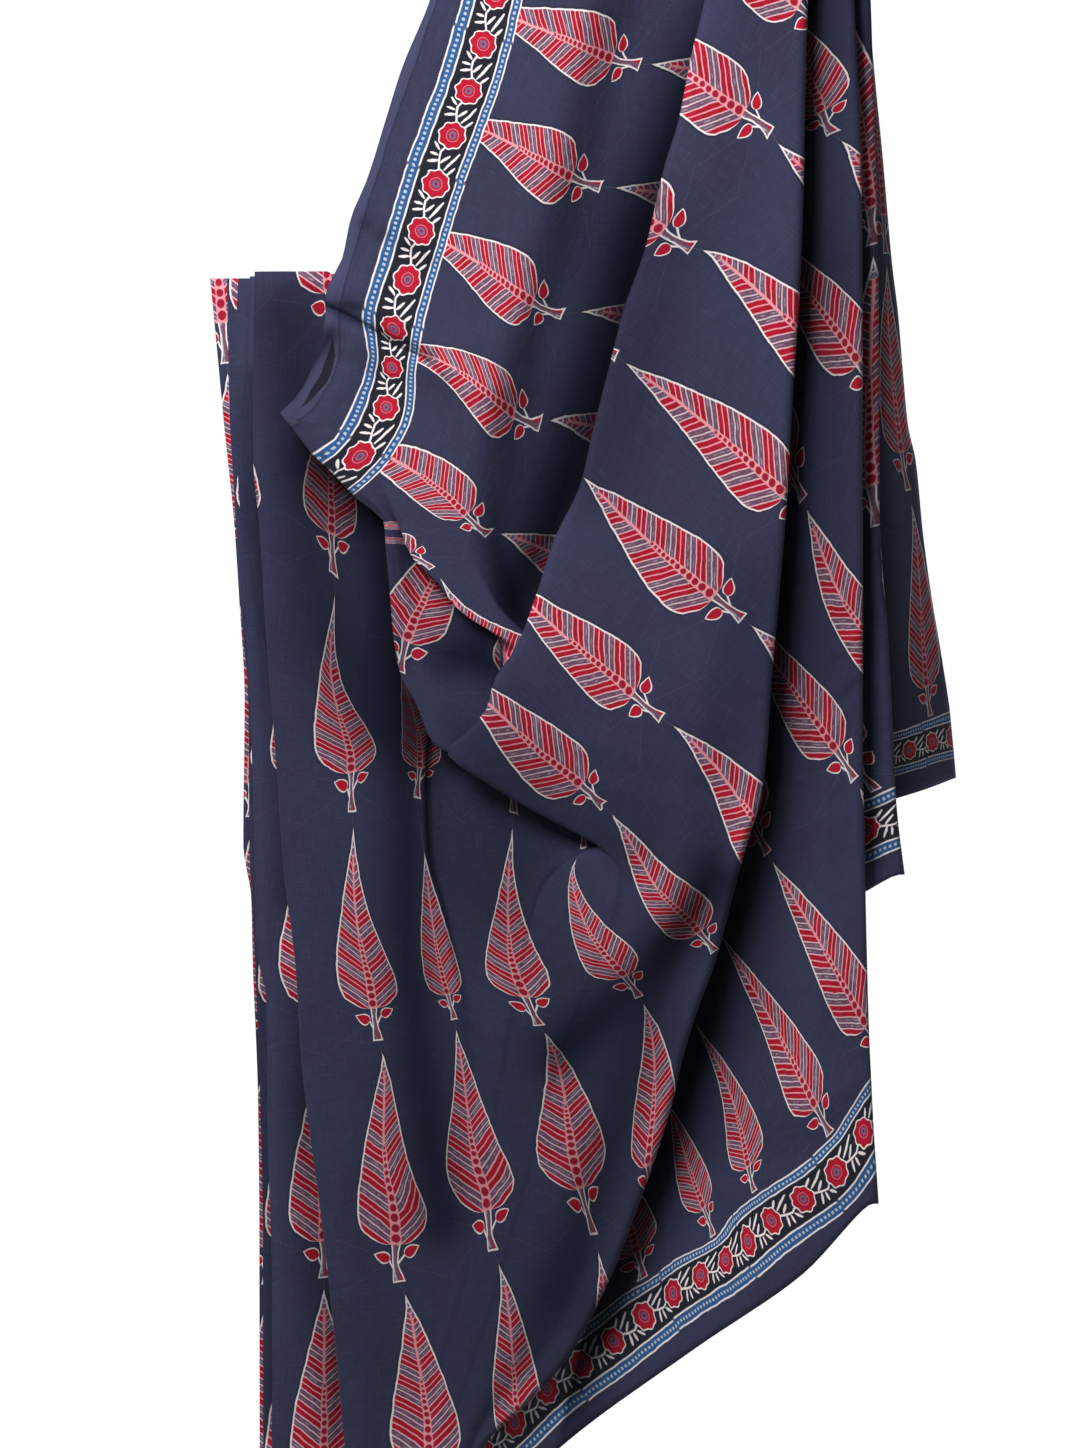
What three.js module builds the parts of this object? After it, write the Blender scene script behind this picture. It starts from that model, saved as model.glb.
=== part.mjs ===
// A block-printed cotton length hung by its top edge. At the left it lies in a flat stack of
// pleats. From the panel in front of the stack it is drawn up to the right as a sash, and it
// ends in a cascade of folds. The whole cloth is one sheet, one solid.
//
// Millimetres, +Z up, the viewer on -Y. The origin is the middle of the top edge.

import * as THREE from "three";

const thickness = 1.6;
const foldReach = 2.4; // half the gap between the two layers at a fold edge, unless it has a reach
const foldInset = 4; // how far behind a fold edge its two layers are parallel
const openStep = 1.5; // half the spacing of a fold's columns where the fold has closed
const panelTop = 264; // how far the panel and its pleats start below the top edge
const joinDrop = 370; // where the sash's free edge meets the under layer
const longest = 1260; // the drop of the lowest row
const bridgeOpens = [645, 682]; // the drops between which the roll under the front folds flat
const colour = 0x2c2f48;

// The drops of the rows, in mm below the top edge, on a column that reaches the lowest hem.
const rowDrops = [
  0, 45, 94, 143, 188, 229, 264, 285, 298, 313, 332, 351, 370,
  390, 412, 435, 458, 480, 506, 532, 559, 585, 611, 634, 652, 662, 671, 681, 692, 710,
  735, 772, 818, 870, 922, 975, 1028, 1080, 1140, 1200, 1260,
];

// The lines of the cloth, from the back of the stack to the free edge of the cascade. A
// course is a list of [drop below the top edge, side of the origin, depth behind it]. A line
// that faces a side is a fold edge, which comes forward unless it recedes. A blunt fold has
// two columns and any other has three. A bridge line lies evenly between the panel's turn
// and the front edge once the roll has folded flat.
const lines = [
  {
    name: "back end",
    course: [
      [266, -165, 50], [585, -159, 50], [885, -168, 52], [1146, -184, 58],
      [1268, -196, 60],
    ],
  },
  {
    name: "pleat 1 left", faces: "left", blunt: true,
    course: [
      [266, -339, 46], [308, -335, 46], [382, -328, 46], [450, -321, 46], [510, -317, 46],
      [585, -313, 46], [694, -314, 46], [735, -308, 47], [780, -307, 47], [885, -303, 48],
      [990, -302, 50], [1146, -302, 54], [1269, -302, 56],
    ],
  },
  {
    name: "pleat 1 right", faces: "right", blunt: true,
    course: [
      [266, -156, 42], [585, -148, 42], [885, -158, 44], [1146, -176, 50],
      [1269, -191, 52],
    ],
  },
  {
    name: "pleat 2 left", faces: "left", blunt: true,
    course: [
      [267, -326, 38], [368, -324, 38], [422, -321, 38], [476, -318, 38], [525, -315, 38],
      [585, -310, 38], [694, -309, 38], [780, -305, 39], [885, -301, 40], [990, -299, 42],
      [1146, -299, 46], [1270, -298, 48],
    ],
  },
  {
    name: "pleat 2 right", faces: "right", blunt: true,
    course: [
      [267, -148, 34], [585, -142, 34], [885, -153, 36], [1146, -172, 42],
      [1270, -188, 44],
    ],
  },
  {
    name: "pleat 3 left", faces: "left", blunt: true,
    course: [
      [267, -317, 30], [331, -320, 30], [404, -318, 30], [467, -314, 30], [525, -311, 30],
      [585, -308, 30], [701, -305, 30], [775, -303, 31], [810, -296, 32], [920, -295, 33],
      [1013, -292, 35], [1146, -292, 38], [1266, -292, 40],
    ],
  },
  {
    name: "pleat 3 right", faces: "right", blunt: true,
    course: [
      [267, -154, 26], [585, -146, 26], [885, -156, 28], [1146, -175, 34],
      [1266, -190, 36],
    ],
  },
  {
    name: "pleat 4 left", faces: "left", blunt: true,
    course: [
      [266, -308, 22], [313, -309, 22], [368, -311, 22], [422, -312, 22], [494, -307, 22],
      [548, -296, 22], [627, -285, 22], [712, -278, 22], [862, -263, 23], [1013, -245, 26],
      [1146, -232, 30], [1270, -224, 32],
    ],
  },
  {
    name: "pleat 4 right", faces: "right", blunt: true,
    course: [
      [267, -159, 17], [585, -150, 17], [885, -159, 18], [1146, -177, 25],
      [1270, -194, 27],
    ],
  },
  {
    name: "panel edge", faces: "left",
    course: [
      [263, -304, 12], [331, -305, 11], [404, -305, 10], [458, -300, 9], [525, -296, 8],
      [627, -288, 7], [712, -282, 6], [785, -273, 5], [862, -268, 4], [955, -256, 3],
      [1013, -249, 3], [1072, -243, 3], [1146, -236, 3], [1269, -228, 3],
    ],
  },
  {
    name: "panel crown",
    course: [
      [263, -286, 8], [404, -282, 5], [525, -270, 3], [712, -251, 0], [862, -236, -2],
      [1013, -225, -4], [1146, -222, -5], [1268, -224, -5],
    ],
  },
  {
    name: "panel valley",
    course: [
      [263, -270, 9], [360, -236, 9], [435, -208, 9], [510, -196, 8], [627, -192, 7],
      [712, -189, 4], [810, -184, 1], [922, -185, -2], [1035, -193, -3], [1146, -208, -4],
      [1264, -220, -5],
    ],
  },
  {
    name: "panel ridge",
    course: [
      [263, -256, 8], [360, -222, 6], [435, -192, 4], [510, -177, 2], [585, -175, 0],
      [652, -178, -3], [699, -176, -5], [743, -164, -6], [796, -154, -6], [821, -150, -6],
      [885, -148, -6], [960, -154, -6], [1035, -168, -6], [1146, -196, -6],
      [1262, -216, -6],
    ],
  },
  {
    name: "behind ridge",
    course: [
      [263, -250, 9], [360, -218, 9], [435, -187, 9], [510, -172, 8], [585, -170, 7],
      [652, -174, 5], [699, -172, 4], [743, -160, 2], [796, -148, -1], [821, -142, -3],
      [885, -140, -6], [960, -147, -7], [1035, -161, -7], [1146, -191, -7],
      [1262, -212, -6],
    ],
  },
  {
    name: "panel inner",
    course: [
      [268, -244, 9], [360, -208, 8], [435, -174, 7], [510, -147, 4], [585, -124, 1],
      [652, -104, -4], [699, -94, -8], [743, -99, -11], [810, -111, -12], [885, -124, -11],
      [960, -136, -10], [1035, -153, -9], [1146, -186, -8], [1260, -209, -7],
    ],
  },
  {
    name: "panel turn", faces: "right", blunt: true, closes: [679, 712],
    course: [
      [274, -236, 5], [360, -195, 2], [435, -159, 0], [510, -120, -2], [578, -84, -5],
      [638, -51, -11], [679, -26, -17], [691, -42, -19], [702, -64, -18], [712, -80, -15],
      [735, -94, -13], [810, -108, -12], [885, -122, -11], [960, -134, -10],
      [1035, -150, -9], [1146, -183, -8], [1260, -206, -7],
    ],
  },
  {
    name: "under layer", bridge: true,
    course: [
      [311, -244, 2], [360, -236, 2], [416, -199, -1], [453, -176, -4], [510, -158, -5],
      [585, -126, -8], [618, -112, -11.5], [657, -68, -13],
    ],
  },
  {
    name: "drape edge", faces: "left", closes: [645, 682], bridge: true,
    course: [
      [0, -156, -2], [60, -172, -6], [112, -193, -9], [147, -204, -11], [198, -220, -13],
      [224, -231, -14], [256, -238, -15], [269, -245, -16], [284, -251, -19],
      [296, -250, -17], [308, -251, -20], [313, -250, -20], [332, -258, -21],
      [352, -267, -20], [366, -279, -18], [370, -284, -16], [382, -274, -15],
      [399, -262, -15], [416, -244, -15], [433, -228, -15], [453, -206, -15],
      [469, -205, -15], [502, -202, -15], [538, -199, -15], [565, -194, -16],
      [590, -181, -17], [618, -169, -18], [629, -148, -18], [644, -120, -18],
      [657, -98, -18],
    ],
  },
  {
    name: "roll", bridge: true,
    course: [
      [0, -142, -4], [60, -158, -9], [112, -178, -12], [147, -189, -14], [198, -205, -16],
      [256, -224, -18], [284, -236, -22], [296, -235, -18], [313, -236, -23],
      [332, -242, -24], [352, -249, -24], [370, -261, -23], [382, -256, -23],
      [399, -247, -22], [416, -232, -22], [433, -218, -22], [453, -202, -20],
      [469, -199, -20], [502, -194, -22], [538, -187, -23], [565, -177, -24],
      [590, -164, -25], [618, -148, -20], [657, -94, -20],
    ],
  },
  {
    name: "hollow", bridge: true,
    course: [
      [0, -135, -4], [60, -148, -10], [147, -180, -15], [198, -196, -17], [256, -214, -19],
      [284, -225, -23], [296, -224, -19], [313, -225, -24], [332, -228, -25],
      [352, -236, -25], [370, -245, -24], [382, -243, -24], [399, -236, -23],
      [416, -225, -22], [433, -213, -21], [453, -199, -18], [469, -194, -18],
      [496, -185, -15], [514, -175, -13], [538, -160, -12], [551, -152, -13],
      [565, -148, -15], [578, -146, -19], [590, -146, -22], [618, -140, -21],
      [657, -89, -21],
    ],
  },
  {
    name: "trough", bridge: true,
    course: [
      [0, -126, -4], [60, -140, -10], [147, -171, -15], [198, -188, -17], [256, -204, -19],
      [284, -214, -22], [313, -213, -24], [332, -213, -24], [352, -222, -24],
      [370, -230, -24], [399, -226, -23], [416, -218, -22], [433, -207, -20],
      [453, -196, -15], [469, -189, -13], [480, -181, -11], [496, -164, -10],
      [514, -151, -10], [527, -135, -10], [538, -120, -11], [551, -120, -12],
      [565, -120, -13], [578, -120, -16], [590, -126, -19], [618, -129, -22],
      [657, -85, -21.7],
    ],
  },
  {
    name: "sash ridge", bridge: true,
    course: [
      [0, -104, -5], [60, -120, -11], [147, -142, -16], [198, -158, -18], [256, -174, -20],
      [284, -182, -22], [313, -186, -23], [332, -185, -24], [370, -196, -25],
      [399, -202, -25], [433, -202, -24], [453, -194, -23], [469, -190, -23],
      [480, -184, -24], [496, -167, -24], [514, -154, -24], [527, -138, -24],
      [538, -118, -23], [551, -102, -21], [578, -98, -20], [590, -110, -20],
      [618, -120, -22.7], [657, -80, -22.4],
    ],
  },
  {
    name: "sash middle", bridge: true,
    course: [
      [0, -45, -5], [60, -60, -12], [147, -79, -17], [198, -90, -19], [256, -105, -21],
      [313, -120, -24], [370, -136, -26], [399, -144, -27], [433, -146, -27],
      [453, -144, -26], [480, -136, -25], [514, -120, -24], [538, -98, -21],
      [551, -88, -20], [578, -88, -20], [590, -101, -20], [618, -112, -23.3],
      [657, -76, -23],
    ],
  },
  {
    name: "sash shade", bridge: true,
    course: [
      [0, 2, 12], [60, -10, 8], [106, -22, 8], [152, -31, 6], [188, -42, 4], [248, -56, 2],
      [294, -70, 0], [345, -84, -1], [384, -94, -2], [423, -101, -4], [466, -110, -6],
      [506, -104, -10], [538, -82, -14], [551, -76, -16], [578, -81, -19], [590, -93, -20],
      [618, -104, -24], [657, -71, -23.6],
    ],
  },
  {
    name: "sash turn", faces: "right", reach: 1.6, blunt: true, closes: [645, 682], bridge: true,
    course: [
      [0, 81, 16], [60, 70, 12], [106, 62, 12], [152, 54, 10], [188, 45, 8], [248, 34, 6],
      [294, 22, 4], [345, 11, 3], [384, 4, 2], [423, -4, 0], [466, -21, -4],
      [506, -34, -10], [536, -45, -16], [551, -51, -19], [564, -58, -21], [580, -69, -23],
      [593, -82, -24], [618, -94, -26], [657, -66, -25.4],
    ],
  },
  {
    name: "front edge", faces: "left", closes: [679, 712],
    course: [
      [0, 46, -9], [60, 34, -15], [106, 23, -18], [152, 14, -20], [188, 3, -22],
      [248, -11, -24], [294, -27, -26], [345, -40, -28], [384, -50, -29], [423, -59, -30],
      [466, -79, -31], [506, -92, -32], [536, -103, -33], [551, -110, -33],
      [564, -120, -33], [574, -125, -33], [580, -126, -32], [593, -130, -32],
      [605, -140, -31], [616, -152, -30], [622, -160, -30], [629, -156, -29],
      [644, -134, -29], [657, -113, -29], [669, -92, -29], [691, -50, -28],
      [699, -39, -27], [712, -30, -26], [735, -32, -25], [773, -45, -22], [810, -60, -20],
      [885, -86, -17], [960, -105, -15], [1035, -126, -13], [1146, -160, -10],
      [1259, -174, -7],
    ],
  },
  {
    name: "front ridge",
    course: [
      [0, 71, -15], [60, 58, -20], [106, 46, -22], [152, 38, -24], [188, 27, -26],
      [248, 12, -28], [294, -3, -30], [345, -15, -32], [384, -22, -33], [423, -30, -34],
      [466, -45, -35], [506, -56, -36], [536, -60, -37], [585, -52, -38], [620, -38, -38],
      [652, -8, -37], [685, 21, -36], [713, 15, -34], [742, 6, -33], [773, -10, -31],
      [810, -22, -29], [870, -45, -26], [930, -64, -23], [998, -86, -20],
      [1058, -109, -17], [1146, -148, -13], [1258, -166, -8],
    ],
  },
  {
    name: "front valley",
    course: [
      [0, 90, -13], [60, 84, -18], [152, 73, -22], [248, 64, -25], [345, 49, -29],
      [423, 38, -31], [506, 30, -33], [585, 34, -33], [652, 46, -32], [685, 49, -30],
      [713, 42, -27], [742, 32, -24], [773, 19, -22], [810, 6, -21], [870, -11, -19],
      [930, -32, -17], [998, -52, -15], [1058, -79, -13], [1146, -141, -11],
      [1257, -160, -7],
    ],
  },
  {
    name: "cascade 1", faces: "right", recedes: true, reach: 4,
    course: [
      [0, 112, -9], [60, 110, -14], [129, 108, -18], [220, 106, -22], [285, 103, -24],
      [345, 99, -26], [432, 94, -28], [529, 86, -30], [574, 82, -30], [620, 79, -31],
      [660, 74, -30], [682, 67, -29], [706, 60, -28], [749, 49, -26], [782, 40, -25],
      [814, 28, -24], [853, 16, -22], [887, 8, -21], [926, -4, -20], [960, -16, -18],
      [1001, -31, -17], [1034, -46, -16], [1075, -68, -14], [1110, -98, -12],
      [1146, -134, -10], [1185, -144, -8], [1256, -154, -6],
    ],
  },
  {
    name: "cascade 1 turn", faces: "left", recedes: true, blunt: true,
    course: [
      [0, 89, -2], [60, 78, -7], [152, 63, -10], [188, 56, -11], [248, 42, -13],
      [285, 34, -15], [345, 30, -16], [432, 22, -18], [529, 14, -20], [620, 6, -20],
      [660, 3, -19], [706, -8, -15], [782, -30, -11], [853, -52, -8], [926, -75, -6],
      [1001, -101, -4], [1075, -135, -1], [1146, -168, 0], [1185, -177, 1],
      [1258, -184, 1],
    ],
  },
  {
    name: "wing inner",
    course: [
      [0, 101, 8], [60, 94, 4], [152, 86, 1], [285, 64, -3], [435, 52, -7], [620, 41, -8],
      [706, 34, -7], [782, 19, -4], [853, 4, -1], [926, -15, 1], [1001, -38, 2],
      [1075, -60, 3], [1146, -75, 3],
    ],
  },
  {
    name: "wing middle",
    course: [
      [0, 117, 5], [60, 116, 1], [152, 116, -3], [285, 105, -6], [435, 98, -10],
      [620, 88, -11], [706, 88, -10], [782, 79, -9], [853, 64, -6], [926, 46, -5],
      [1001, 33, -5], [1074, 22, -5],
    ],
  },
  {
    name: "wing outer",
    course: [
      [0, 130, -2], [60, 131, -6], [152, 135, -9], [285, 134, -13], [435, 132, -17],
      [620, 129, -19], [735, 128, -18], [853, 119, -17], [926, 112, -15], [1014, 107, -14],
    ],
  },
  {
    name: "cascade 2", faces: "right", recedes: true,
    course: [
      [0, 142, -1], [60, 145, -4], [106, 147, -6], [150, 149, -7], [248, 151, -10],
      [435, 151, -14], [630, 151, -16], [676, 152, -16], [731, 153, -16], [814, 155, -15],
      [902, 159, -13], [962, 163, -12],
    ],
  },
  {
    name: "cascade 2 turn", faces: "left", recedes: true, blunt: true,
    course: [
      [0, 129, 8], [60, 130, 5], [248, 124, -1], [435, 117, -5], [630, 114, -6],
      [746, 116, -6],
    ],
  },
  {
    name: "sliver",
    course: [
      [0, 141, 11], [60, 143, 8], [248, 147, 3], [435, 148, 0], [630, 152, -1],
      [732, 148, -2],
    ],
  },
  {
    name: "cascade 3", faces: "right", recedes: true,
    course: [
      [0, 154, 12], [60, 158, 9], [345, 164, 3], [435, 164, 1], [482, 166, 0],
      [529, 170, 0], [604, 174, -1], [651, 176, -1], [676, 178, -1], [716, 183, -1],
    ],
  },
  {
    name: "cascade 3 turn", faces: "left", recedes: true, blunt: true,
    course: [
      [0, 141, 17], [60, 142, 15], [248, 144, 10], [435, 146, 7], [630, 152, 6],
      [666, 154, 6],
    ],
  },
  {
    name: "tail middle",
    course: [
      [0, 148, 32], [60, 152, 34], [175, 158, 38], [290, 164, 42], [435, 174, 46],
      [551, 184, 48], [653, 200, 48],
    ],
  },
  {
    name: "tail edge",
    course: [
      [0, 156, 50], [60, 159, 55], [117, 164, 60], [175, 170, 66], [250, 177, 74],
      [290, 182, 78], [335, 186, 82], [375, 190, 86], [402, 196, 88], [460, 202, 90],
      [510, 209, 91], [551, 216, 92], [590, 222, 92], [620, 225, 92], [644, 227, 92],
    ],
  },
];

const smooth = (from, to, value) => THREE.MathUtils.smoothstep(value, from, to);
const mix = THREE.MathUtils.lerp;

// The side and depth of a course at a drop, on a curve that doesn't swing past its points.
function courseAt(course, drop) {
  const last = course.length - 1;
  if (drop <= course[0][0]) return course[0].slice(1);
  if (drop >= course[last][0]) return course[last].slice(1);
  const i = course.findIndex((point) => point[0] > drop) - 1;
  const rise = (k, axis) =>
    (course[k + 1][axis] - course[k][axis]) / (course[k + 1][0] - course[k][0]);
  const slope = (k, axis) => {
    if (k === 0) return rise(0, axis);
    if (k === last) return rise(last - 1, axis);
    const before = rise(k - 1, axis);
    const after = rise(k, axis);
    return before * after > 0 ? (2 * before * after) / (before + after) : 0;
  };
  const span = course[i + 1][0] - course[i][0];
  const t = (drop - course[i][0]) / span;
  const hermite = (axis) =>
    course[i][axis] * (1 + 2 * t) * (1 - t) ** 2 +
    slope(i, axis) * span * t * (1 - t) ** 2 +
    course[i + 1][axis] * t * t * (3 - 2 * t) -
    slope(i + 1, axis) * span * t * t * (1 - t);
  return [hermite(1), hermite(2)];
}

// The columns of one line: one for a plain line, two for a blunt fold, three for a fold.
function columnsOf(line) {
  const ends = { top: line.course[0][0], bottom: line.course.at(-1)[0] };
  if (!line.faces) {
    return [{ ...ends, bridge: line.bridge, at: (drop) => courseAt(line.course, drop) }];
  }
  const outward = line.faces === "right" ? 1 : -1;
  const forward = line.recedes ? -1 : 1;
  const steps = line.blunt ? [-1, 1] : [-1, 0, 1];
  return steps.map((step) => ({
    ...ends,
    bridge: line.bridge,
    split: line.name === "drape edge" ? step : undefined,
    at: (drop) => {
      const [side, depth] = courseAt(line.course, drop);
      const folded = line.closes ? 1 - smooth(...line.closes, drop) : 1;
      const inset = line.blunt ? 0 : Math.abs(step) * foldInset * outward * folded;
      return [
        side - inset + step * openStep * (1 - folded),
        depth - step * forward * (line.reach ?? foldReach) * folded,
      ];
    },
  }));
}

const columns = lines.flatMap(columnsOf);
const joinColumn = columns.findIndex((column) => column.split === 0);
const firstBridge = columns.findIndex((column) => column.bridge);
const lastBridge = columns.findLastIndex((column) => column.bridge);
const bridgeCount = lastBridge - firstBridge + 2;

columns[joinColumn - 1].top = 352;
for (let c = firstBridge; c <= lastBridge; c += 1) {
  const column = columns[c];
  const share = (c - firstBridge + 1) / bridgeCount;
  const own = column.at;
  column.bottom = mix(columns[firstBridge - 1].bottom, columns[lastBridge + 1].bottom, share);
  column.at = (drop) => {
    const flat = smooth(...bridgeOpens, drop);
    const from = columns[firstBridge - 1].at(drop);
    const to = columns[lastBridge + 1].at(drop);
    return own(drop).map((value, k) => mix(value, mix(from[k], to[k], share), flat));
  };
}

// The drop of a row on a column. Above the join the panel's rows are spaced from its own top.
function dropOf(c, row) {
  const { top, bottom } = columns[c];
  const drop = rowDrops[row];
  if (drop > joinDrop) {
    return mix(joinDrop, bottom, (drop - joinDrop) / (longest - joinDrop));
  }
  if (c >= joinColumn) return drop;
  return mix(top, joinDrop, (drop - panelTop) / (joinDrop - panelTop));
}

const topRow = rowDrops.indexOf(panelTop);
const joinRow = rowDrops.indexOf(joinDrop);

// The first row of the strip between a column and the next one.
function stripTop(c) {
  if (c >= joinColumn) return 0;
  return c === joinColumn - 1 ? joinRow : topRow;
}

// The sheet's middle surface: its points, and its triangles as their numbers.
function middleSurface() {
  const points = [];
  const numbers = new Map();
  const pointAt = (c, row) => {
    const key = c * rowDrops.length + row;
    if (!numbers.has(key)) {
      const drop = dropOf(c, row);
      const [side, depth] = columns[c].at(drop);
      numbers.set(key, points.length);
      points.push(new THREE.Vector3(side, depth, -drop));
    }
    return numbers.get(key);
  };
  const triangles = [];
  for (let c = 0; c + 1 < columns.length; c += 1) {
    for (let row = stripTop(c); row + 1 < rowDrops.length; row += 1) {
      const [a, b] = [pointAt(c, row), pointAt(c + 1, row)];
      const [d, e] = [pointAt(c, row + 1), pointAt(c + 1, row + 1)];
      triangles.push([a, d, b], [b, d, e]);
    }
  }
  return { points, triangles };
}

// A closed solid: the surface moved half the thickness each way, and walls round its border.
function thicken({ points, triangles }) {
  const normals = points.map(() => new THREE.Vector3());
  const edges = new Map();
  for (const [a, b, c] of triangles) {
    const normal = new THREE.Triangle(points[a], points[b], points[c]).getNormal(
      new THREE.Vector3(),
    );
    for (const k of [a, b, c]) normals[k].add(normal);
    for (const [from, to] of [[a, b], [b, c], [c, a]]) {
      if (!edges.delete(`${to} ${from}`)) edges.set(`${from} ${to}`, [from, to]);
    }
  }
  const side = (sign) =>
    points.flatMap((point, k) =>
      point.clone().addScaledVector(normals[k].normalize(), (sign * thickness) / 2).toArray(),
    );
  const count = points.length;
  const faces = triangles.flatMap(([a, b, c]) => [a, b, c, c + count, b + count, a + count]);
  for (const [from, to] of edges.values()) {
    faces.push(to, from, from + count, to, from + count, to + count);
  }
  const geometry = new THREE.BufferGeometry();
  geometry.setAttribute("position", new THREE.Float32BufferAttribute([...side(1), ...side(-1)], 3));
  geometry.setIndex(faces);
  geometry.computeVertexNormals();
  return geometry;
}

const cloth = new THREE.Mesh(
  thicken(middleSurface()),
  new THREE.MeshStandardMaterial({ color: colour, roughness: 0.85, metalness: 0 }),
);
cloth.name = "cloth";

const group = new THREE.Group();
group.add(cloth);

export default group;
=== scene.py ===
# A block-printed cotton length hung by its top edge: the sheet, its print, a camera and a
# plain studio. Sizes are in millimetres, the points of the fold lines and of the print on a
# grid of 0.75 mm squares, and the meshes in metres on the shared frame.
import math

import bpy
import numpy as np
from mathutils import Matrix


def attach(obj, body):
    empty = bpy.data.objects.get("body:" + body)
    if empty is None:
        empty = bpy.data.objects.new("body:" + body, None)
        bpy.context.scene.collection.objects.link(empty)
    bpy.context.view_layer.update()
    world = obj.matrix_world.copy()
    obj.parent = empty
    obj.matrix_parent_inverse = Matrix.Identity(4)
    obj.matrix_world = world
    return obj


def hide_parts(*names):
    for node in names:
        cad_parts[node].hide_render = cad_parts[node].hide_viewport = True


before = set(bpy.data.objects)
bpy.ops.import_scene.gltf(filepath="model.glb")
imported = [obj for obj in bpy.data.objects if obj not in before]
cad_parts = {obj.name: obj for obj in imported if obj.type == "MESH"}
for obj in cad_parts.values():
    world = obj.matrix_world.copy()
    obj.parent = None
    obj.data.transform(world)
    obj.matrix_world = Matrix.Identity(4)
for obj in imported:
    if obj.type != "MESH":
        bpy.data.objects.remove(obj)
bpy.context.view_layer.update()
mm = 0.001

sheet = {
    "panelTop": 264,  # drop of the panel and its pleats
    "joinDrop": 370,  # where the sash's free edge meets the under layer
    "underTop": 352,  # where the under layer starts, beside the sash's free edge
    "longest": 1260,
    "bridgeOpens": (645, 682),  # the roll under the front folds flat between these drops
    "foldInset": 4,
    "openStep": 1.5,
    "thickness": 1.1,
    "rowStep": 11.0,
    "tuck": (284, 352),  # the rows lie closer where the sash is tucked
    "tuckStep": 4.0,
    "columnStep": 9.0,
    "hiddenStep": 27.0,
    "leastChord": 0.6,
    "flat": (1.133, 2.3),  # the cloth's width and the length that hangs here, in metres
}

rowDrops = [
    0, 45, 94, 143, 188, 229, 264, 285, 298, 313, 332, 351, 370, 390, 412, 435, 458, 480, 506,
    532, 559, 585, 611, 634, 652, 662, 671, 681, 692, 710, 735, 772, 818, 870, 922, 975, 1028,
    1080, 1140, 1200, 1260,
]


grid = {"square": 0.75, "origin": (660, -80)}  # where the grid has the part's own origin


def sideOf(x):
    return round((x - grid["origin"][0]) * grid["square"])


def dropOf(y):
    return round((y - grid["origin"][1]) * grid["square"])


def line(points, faces=None, blunt=False, recedes=False, reach=2.4, closes=None, bridge=False):
    course = [(dropOf(y), sideOf(x), depth) for y, x, depth in points]
    return {"course": course, "faces": faces, "blunt": blunt, "recedes": recedes,
            "reach": reach, "closes": closes, "bridge": bridge}


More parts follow.
